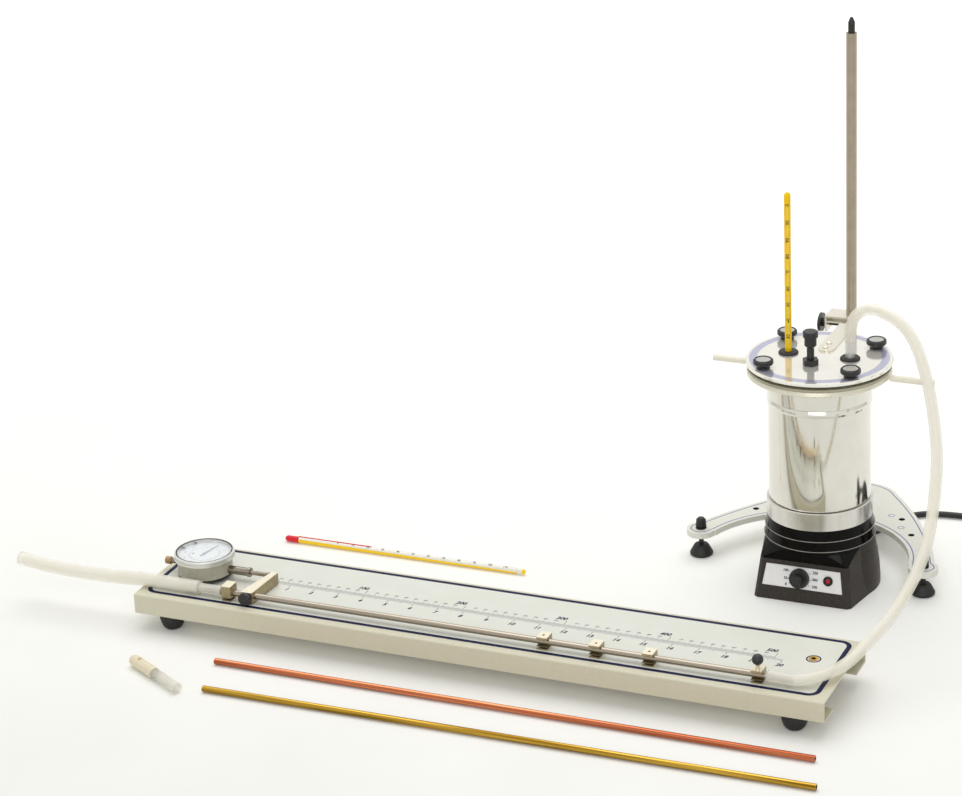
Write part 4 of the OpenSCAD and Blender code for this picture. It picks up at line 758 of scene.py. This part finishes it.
# %% [markdown]
# ## Dial gauge
# The white dial has a hundred marks and ten numbers. It turns with the bezel, so its print rides on the
# bezel's body. The small fixed dial inside counts the turns. A black gasket ring closes the crystal.
# %% Dial marks
DIAL_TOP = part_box("dial_face")[1][2] * 1000
marks = [ring_of_marks(GREY_INK, 100, GX, GY, DIAL_TOP, 24.4, 0.22, 1.6),
         ring_of_marks(GREY_INK, 10, GX, GY, DIAL_TOP, 23.4, 0.4, 3.0),
         ring_band(GX, GY, DIAL_TOP, 14.6, 14.75)]
NUMBER_CIRCLE, NUMBER_TURN = 19.4, 36  # millimetres, degrees
for k in range(10):
    back = -NUMBER_TURN * k - 11
    a = math.radians(90 + back)
    place = GX + NUMBER_CIRCLE * math.cos(a), GY + NUMBER_CIRCLE * math.sin(a)
    marks.append(flat(numeral(str(10 * k), 2.6), *place, DIAL_TOP, back))
joined("dial_marks", marks, PALE_INK, "gauge_rim")
crystal_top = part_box("gauge_crystal")[1][2] * 1000
joined("crystal_gasket", [ring_band(GX, GY, crystal_top + 0.02, 25.8, 26.95, 0.00022)], BLACK_INK,
       "gauge_rim")
joined("inner_dial", [disc(GX, GY, DIAL_TOP, 14.0)], DIAL)
marks = [ring_of_marks(GREY_INK, 10, GX - 9.98, GY - 3.49, DIAL_TOP + FILM * 1000, 2.9, 0.15, 0.7)]
joined("inner_dial_marks", marks, PALE_INK)
print("dial ready")

# %% [markdown]
# ## Steam generator
# The heater's front leans back and carries numbers round the knob: they are made flat and put on the front
# by one matrix. The lid has a broad pale ring, each lid nut a smooth recessed top, and the heater's black
# neck two painted highlights: thin pale rings of their own, because the solid's edge has no width.
# %% Heater panel, lid ring and nut tops
FRONT = Matrix.Translation(at(HX, HY - FRONT_OUT, 0)) @ Matrix.Rotation(math.pi / 2 - LEAN, 4, "X")
PANEL_FOOT = 13.1  # height of the panel's lower edge, along the front
KNOB_X, KNOB_UP = -3.5, 10.1
PANEL_DEPTH = -0.39  # of the panel's face, behind the plane of the front


def on_front(mesh, x, up):
    """Places a mesh on the panel, beside and above the knob's middle."""
    place = Matrix.Translation(((KNOB_X + x) / 1000, (PANEL_FOOT + KNOB_UP + up) / 1000, PANEL_DEPTH / 1000))
    return placed(mesh, FRONT @ place)


marks = []
for text, x, up in (("0", -13.0, -7.2), ("50", -13.5, -1.2), ("100", -13.8, 6.3),
                    ("250", 15.0, 7.0), ("300", 15.0, 0.4), ("350", 15.0, -6.6)):
    marks.append(on_front(numeral(text, 2.4, weight=0.12), x, up))
TICK_CIRCLE = 11.2
for angle in (-150, -172, 150, 30, -2, -32):
    a = math.radians(angle)
    tick = bars(ROW, BLACK_INK, 1, LIFT, (0.0016, 0.0004, FILM))
    tick.transform(Matrix.Rotation(a, 4, "Z"))
    marks.append(on_front(tick, TICK_CIRCLE * math.cos(a), TICK_CIRCLE * math.sin(a)))
joined("panel_marks", marks, BLACK_INK)
LID_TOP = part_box("lid")[1][2] * 1000
joined("lid_ring", [ring_band(HX, HY, LID_TOP, 57.4, 64.8)], LILAC)
STUD_CIRCLE, NUT_RECESS = 57.5, 0.78
for k, angle in enumerate((41, 139, 225, 317), 1):
    a = math.radians(angle)
    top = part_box(f"lid_nut_{k}")[1][2] * 1000 - NUT_RECESS
    round_top = disc(HX + STUD_CIRCLE * math.cos(a), HY + STUD_CIRCLE * math.sin(a), top, 6.8)
    joined(f"nut_top_{k}", [round_top], NUT_TOP, f"nut_{k}")
NECK_HIGHLIGHT_RINGS = ((60.8, 51.0), (50.9, 51.8))  # height and inner radius of the painted highlight rings
joined("heater_ring_highlights", [ring_band(HX, HY, z - 0.3, r, r + 0.75, 0.0006) for z, r in NECK_HIGHLIGHT_RINGS],
       EDGE_HIGHLIGHT)
print("generator details ready")


# %% [markdown]
# ## Stand print
# A thin violet line follows the edge of the stand's plate. Its curve could be typed in again, but then it
# would miss the edge when the plate changes. So it is offset inwards from the plate's outline in the frame.
# %% Stand outline
def outline_of(node, level):
    """The longest loop of edges where the flat top of a node ends."""
    form = bmesh.new()
    form.from_mesh(NODES[node].data)
    bmesh.ops.remove_doubles(form, verts=form.verts, dist=1e-6)
    flat_top = {f for f in form.faces if f.normal.z > 0.99 and abs(f.calc_center_median().z - level) < 1e-4}
    after = {}
    for edge in form.edges:
        sides = [f for f in edge.link_faces if f in flat_top]
        if len(sides) == 1:
            a, b = edge.verts
            loop = next(l for l in sides[0].loops if l.edge == edge)
            start, stop = (a, b) if loop.vert == a else (b, a)
            after[start.index] = (stop.index, stop.co.copy())
    loops = []
    while after:
        start, (here, point) = after.popitem()
        loop = [point]
        while here != start:
            here, point = after.pop(here)
            loop.append(point)
        loops.append(loop)
    form.free()
    return max(loops, key=length_of)


def inset(loop, step, count):
    """Loops moved inwards by the distances in `step`, on evenly spaced points."""
    loop = [*loop, loop[0]]
    total = length_of(loop)
    points, walked, k = [], 0.0, 0
    for i in range(count):
        goal = total * i / count
        while walked + (loop[k + 1] - loop[k]).length < goal:
            walked += (loop[k + 1] - loop[k]).length
            k += 1
        points.append(loop[k].lerp(loop[k + 1], (goal - walked) / (loop[k + 1] - loop[k]).length))
    ahead = [(points[(i + 2) % count] - points[i - 2]).normalized() for i in range(count)]
    return [[p + distance * Vector((-t.y, t.x, 0)) for p, t in zip(points, ahead)] for distance in step]


STAND_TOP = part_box("stand_plate")[1][2]
edge = outline_of("stand_plate", STAND_TOP)
outer, inner = inset(edge, (0.0036, 0.0047), 420)
marks = [band(outer, inner, STAND_TOP)]
for x, y in ((40.7, 99.6), (57.3, 75.5)):
    marks.append(ring_band(HX + x, HY + y, STAND_TOP * 1000, 2.5, 3.2))
joined("stand_line", marks, VIOLET)
print("stand outline, m:", round(length_of(edge), 3))


# %% [markdown]
# ## Thermometers
# The numbers stand on the front of the upright thermometer. Flat print would leave the round glass at its
# sides, so each mesh is wrapped onto it. The spare one lies on its yellow back, with its red bulb and its
# thread of red liquid in view.
# %% Thermometer marks
GAP = 0.00001  # between the glass and the ink
GLASS_RADIUS = 0.0031


def wrapped(mesh, radius=GLASS_RADIUS):
    """Bends a flat mesh round an upright cylinder; its x runs round, its y up. The film gets half as thick,
    because the glass slides through the grommet with 0.06 mm to spare."""
    for v in mesh.vertices:
        around, out = v.co.x / radius, radius + GAP + v.co.z / 2
        v.co = Vector((out * math.sin(around), -out * math.cos(around), v.co.y))
    return mesh


def lifted(z):
    return Matrix.Translation((0, 0, z))


upright = Matrix.Translation(at(HX - 30.5, HY + 2.0, 0)) @ Matrix.Rotation(math.radians(18), 4, "Z")
marks = []
for k in range(9):
    number = numeral(str(30 + 10 * k), 3.2, weight=0.08)
    number.transform(Matrix.Rotation(math.pi / 2, 4, "Z"))
    marks.append(placed(wrapped(number), upright @ lifted(0.243 + 0.0157 * k)))
ticks = bars(ROW, BLACK_INK, 72, (0.0019, 0, FILM / 2), (0.0012, 0.0002, FILM), (0, 0.00196, 0))
marks.append(placed(wrapped(ticks), upright @ lifted(0.238)))
joined("thermometer_marks", marks, BLACK_INK, "lid_thermometer")
thread = bars(ROW, PALE_LINE, 24, (0, 0.003, FILM / 2), (0.0009, 0.0056, FILM), (0, 0.0056, 0))
joined("thermometer_line", [placed(wrapped(thread, GLASS_RADIUS - GAP), upright @ lifted(0.236))],
       PALE_LINE, "lid_thermometer")

spare = Matrix.Translation(at(-292, 159.7, 3.1)) @ Matrix.Rotation(math.radians(0.35), 4, "Z")
liquid = [spare @ Vector((x / 1000, 0.0004, 0.00306)) for x in (14, 40, 66, 94)]
column = tube("spare_red_thread", liquid, 0.00075, RED, sides=10)
marks = []
for k in range(12):
    number = numeral(str(10 * k), 2.2, weight=0.04)
    number.transform(Matrix.Rotation(math.radians(20), 4, "X") @ lifted(0.00312))
    marks.append(placed(number, spare @ Matrix.Translation(((58 + 16.4 * k) / 1000, 0, 0))))
joined("spare_marks", marks, BLACK_INK)
print("thermometers marked")


# %% [markdown]
# ## Hose connector
# The loose connector is a rubber sleeve with a small amber port and a clear sleeve pushed into its end. Its
# solid is one piece, and the two materials meet inside it, so both halves are made anew here: turned
# profiles, with rounded ends and a real bore.
# %% Turned profiles
def turned(name, profile, matrix, mat, sides=40):
    """A closed profile of (x, radius) in millimetres turned round the X axis."""
    verts, faces = [], []
    n = len(profile)
    for k in range(sides):
        a = 2 * math.pi * k / sides
        for x, r in profile:
            verts.append(matrix @ Vector((x / 1000, r * math.cos(a) / 1000, r * math.sin(a) / 1000)))
    for k in range(sides):
        for i in range(n):
            j = (i + 1) % n
            b = (k + 1) % sides * n
            faces.append((k * n + i, k * n + j, b + j, b + i))
    obj = mesh_piece(name, verts, faces, mat)
    return obj


connector = Matrix.Translation(at(-303, -126, 5.4)) @ Matrix.Rotation(math.radians(-29), 4, "Z")
rubber_profile = [(0, 2.0), (0, 3.6), (0.5, 4.3), (1.4, 4.9), (3, 5.3), (4.5, 5.4), (20, 5.4), (35, 5.4),
                  (37.4, 5.3), (38, 5.0), (38, 2.0)]
rubber_half = turned("connector_rubber", rubber_profile, connector, RUBBER_BEIGE)
clear_profile = [(38, 2.0), (38, 5.0), (55, 5.0), (76.6, 5.0), (77, 4.8), (77, 3.9), (76.6, 3.8), (40, 3.8),
                 (40, 2.0)]
clear_half = turned("connector_sleeve", clear_profile, connector, CLEAR)
port = joined("connector_port", [ring_band(0, 0, 0, 0.9, 1.7, 0.0004, 32)], AMBER)
port.data.transform(Matrix.Translation(-at(0, 0, 0)))
port.data.transform(connector @ Matrix.Translation((0.013, 0, 0.00512)))
for half_piece in (rubber_half, clear_half):
    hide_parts("hose_connector")
print("connector ready")

# %% [markdown]
# ## Rolled lip and bench feet
# The pan's flange ends in a lip rolled down and out, and the feet of the bench are rubber bowls that narrow
# towards the table. Both could be shaded onto the plain solids, but their outlines show in the photograph,
# so they are turned from a profile, as the real ones are spun and moulded.
# %% Lip and feet
upwards = Matrix.Rotation(-math.pi / 2, 4, "Y")
lip_profile = [(212.3, 65.6), (212.0, 66.5), (212.5, 67.1), (213.3, 67.1), (213.9, 66.6), (214.4, 66.2),
               (216.6, 66.8), (216.6, 64.5), (213.4, 64.9)]
turned("vessel_lip", lip_profile, Matrix.Translation(at(HX, HY, 0)) @ upwards, LIP_METAL,
       sides=96)
foot_low, foot_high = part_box("bench_feet")
foot_top = foot_high[2] * 1000
FOOT_RADIUS = 12
foot_profile = [(0, 1), (0, 6.4), (0.5, 7.6), (1.8, 8.9), (4, 10.2), (7, 11.2), (10, 11.8),
                (foot_top - 5, FOOT_RADIUS), (foot_top, FOOT_RADIUS), (foot_top, 1)]
inwards = FOOT_RADIUS / 1000
foot_places = [(x, y) for x in (foot_low[0] + inwards, foot_high[0] - inwards)
               for y in (foot_low[1] + inwards, foot_high[1] - inwards)]
for k, (x, y) in enumerate(foot_places, 1):
    foot = turned(f"bench_foot_{k}", foot_profile, Matrix.Translation((x, y, 0)) @ upwards, RUBBER)
    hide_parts("bench_feet")
print("feet, mm high:", round(foot_top, 2))

# %% [markdown]
# ## Carried-over solids
# Most solids keep their own shape and only get a finish. The nickel blocks get painted light on their tops
# and painted shade on their sides; their tops lie at different heights, so each has a material of its own.
# %% Finishes for the solids
for finish, names in (
    (BEIGE, "base_channel"),
    (STAND, "stand_plate"),
    (PLATE, "scale_plate"),
    (RUBBER, "lid_grommets levelling_foot_1 levelling_foot_2 levelling_foot_3"),
    (PLASTIC, "stop_arm_screw heater_knob lid_nut_1 lid_nut_2 lid_nut_3 lid_nut_4"),
    (PLASTIC, "safety_valve bracket_knob strain_relief"),
    (CLAMP_SCREW, "clamp_screw"),
    (PLUG, "plug"),
    (GASKET_PAINTED_SHADE, "gasket"),
    (BRASS, "bench_socket revolution_wheel brass_tube"),
    (GAUGE_GREY, "gauge_case"),
    (DARK_METAL, "gauge_back"),
    (CHROME, "gauge_bezel"),
    (DARK_STEEL, "gauge_stem spindle"),
    (KNURLED, "spindle_cap"),
    (GLASS, "gauge_crystal"),
    (TUBE_GLASS, "glass_tube"),
    (DIAL, "dial_face"),
    (BLUED, "long_hand"),
    (BLACK_INK, "limit_hand_1 limit_hand_2"),
    (STEEL, "specimen_tube"),
    (ROD_STEEL, "support_rod"),
    (BRACKET, "lid_bracket"),
    (CLEAR, "outlet_sleeve"),
    (HOUSING, "heater_housing"),
    (PANEL, "heater_panel"),
    (LAMP, "pilot_lamp"),
    (TURNED, "hot_plate"),
    (VESSEL, "vessel"),
    (LID, "lid"),
    (SLEEVE, "handles"),
    (YELLOW, "thermometer"),
    (SPARE, "spare_thermometer"),
    (COPPER, "copper_tube"),
):
    for node in names.split():
        wear(node, finish)
for node in "stop_arm outlet_guide guide_clip_1 guide_clip_2 guide_clip_3 clamp_block".split():
    wear(node, milled(node))
print("dressed solids:", sum(1 for o in NODES.values() if o.data.materials))

# %% [markdown]
# ## Studio
# A pale floor, one very large lamp overhead, a weak one in front and an even sky: soft light with a darker
# front, as in a product photograph on a white table. The camera and the polished metal see a whiter sky than
# the one that lights the set, because the photograph's background is burnt out to white.
# %% Floor, lamps and sky
def floor_material():
    """Pale paper that glows a little more towards the back, where the photograph is burnt out."""
    mat, tree, shader = new_material("studio_floor")
    split = tree.nodes.new("ShaderNodeSeparateXYZ")
    tree.links.new(object_point(tree), split.inputs["Vector"])
    glow = rescaled(tree, split.outputs["Y"], -0.6, 2.5, 0.0, 0.5)
    tree.links.new(glow, shader.inputs["Emission Strength"])
    tree.links.new(two_tones(tree, noise(tree, 6), "#F0F0EC", "#F4F4F0"), shader.inputs["Base Color"])
    set_sockets(shader, {"Emission Color": rgb("#FFFFFF"), "Roughness": 0.9, "Specular IOR Level": 0.1})
    return mat


half = 9.0
corners = [(-half, -half, 0), (half, -half, 0), (half, half, 0), (-half, half, 0)]
floor_mesh = bpy.data.meshes.new("floor")
floor_mesh.from_pydata(corners, [], [(0, 1, 2, 3)])
floor_mesh.materials.append(floor_material())
floor = bpy.data.objects.new("floor", floor_mesh)
floor.location.z = -0.0004  # just under the feet
bpy.context.scene.collection.objects.link(floor)


def softbox(name, place, aim, size, watts):
    lamp = bpy.data.lights.new(name, "AREA")
    lamp.shape = "SQUARE"
    lamp.size = size
    lamp.energy = watts
    obj = bpy.data.objects.new(name, lamp)
    obj.location = place
    obj.rotation_mode = "QUATERNION"
    obj.rotation_quaternion = (Vector(aim) - Vector(place)).to_track_quat("-Z", "Y")
    bpy.context.scene.collection.objects.link(obj)


softbox("overhead", (-0.3, 0.9, 3.2), (0, 0, 0), 3.4, 66)
softbox("front", (0.9, -3.2, 1.9), (0, 0, 0.1), 2.4, 26)
world = bpy.data.worlds.new("studio")
world.use_nodes = True
bpy.context.scene.world = world
sky = world.node_tree
direction = sky.nodes.new("ShaderNodeTexCoord")
height = sky.nodes.new("ShaderNodeSeparateXYZ")
sky.links.new(direction.outputs["Generated"], height.inputs["Vector"])
tone = ramp(sky, height.outputs["Z"], [(0.0, "#D0CEC6"), (0.35, "#E0DFDB"), (1.0, "#FFFFFF")])
paper = ramp(sky, height.outputs["Z"], [(0.0, "#DDDBD5"), (0.25, "#F8F7F4"), (1.0, "#FFFFFF")])
rays = sky.nodes.new("ShaderNodeLightPath")
mirrored, seen = (sky.nodes.new("ShaderNodeMath") for _ in range(2))
mirrored.operation = seen.operation = "MAXIMUM"
sky.links.new(rays.outputs["Is Glossy Ray"], mirrored.inputs[0])
sky.links.new(rays.outputs["Is Transmission Ray"], mirrored.inputs[1])
sky.links.new(mirrored.outputs["Value"], seen.inputs[0])
sky.links.new(rays.outputs["Is Camera Ray"], seen.inputs[1])
shown = seen.outputs["Value"]
background = sky.nodes["Background"].inputs
sky.links.new(blended(sky, shown, tone, paper), background["Color"])
sky.links.new(rescaled(sky, shown, 0.0, 1.0, 0.6, 1.0), background["Strength"])
bpy.context.scene.view_settings.view_transform = "Standard"
print("studio ready")
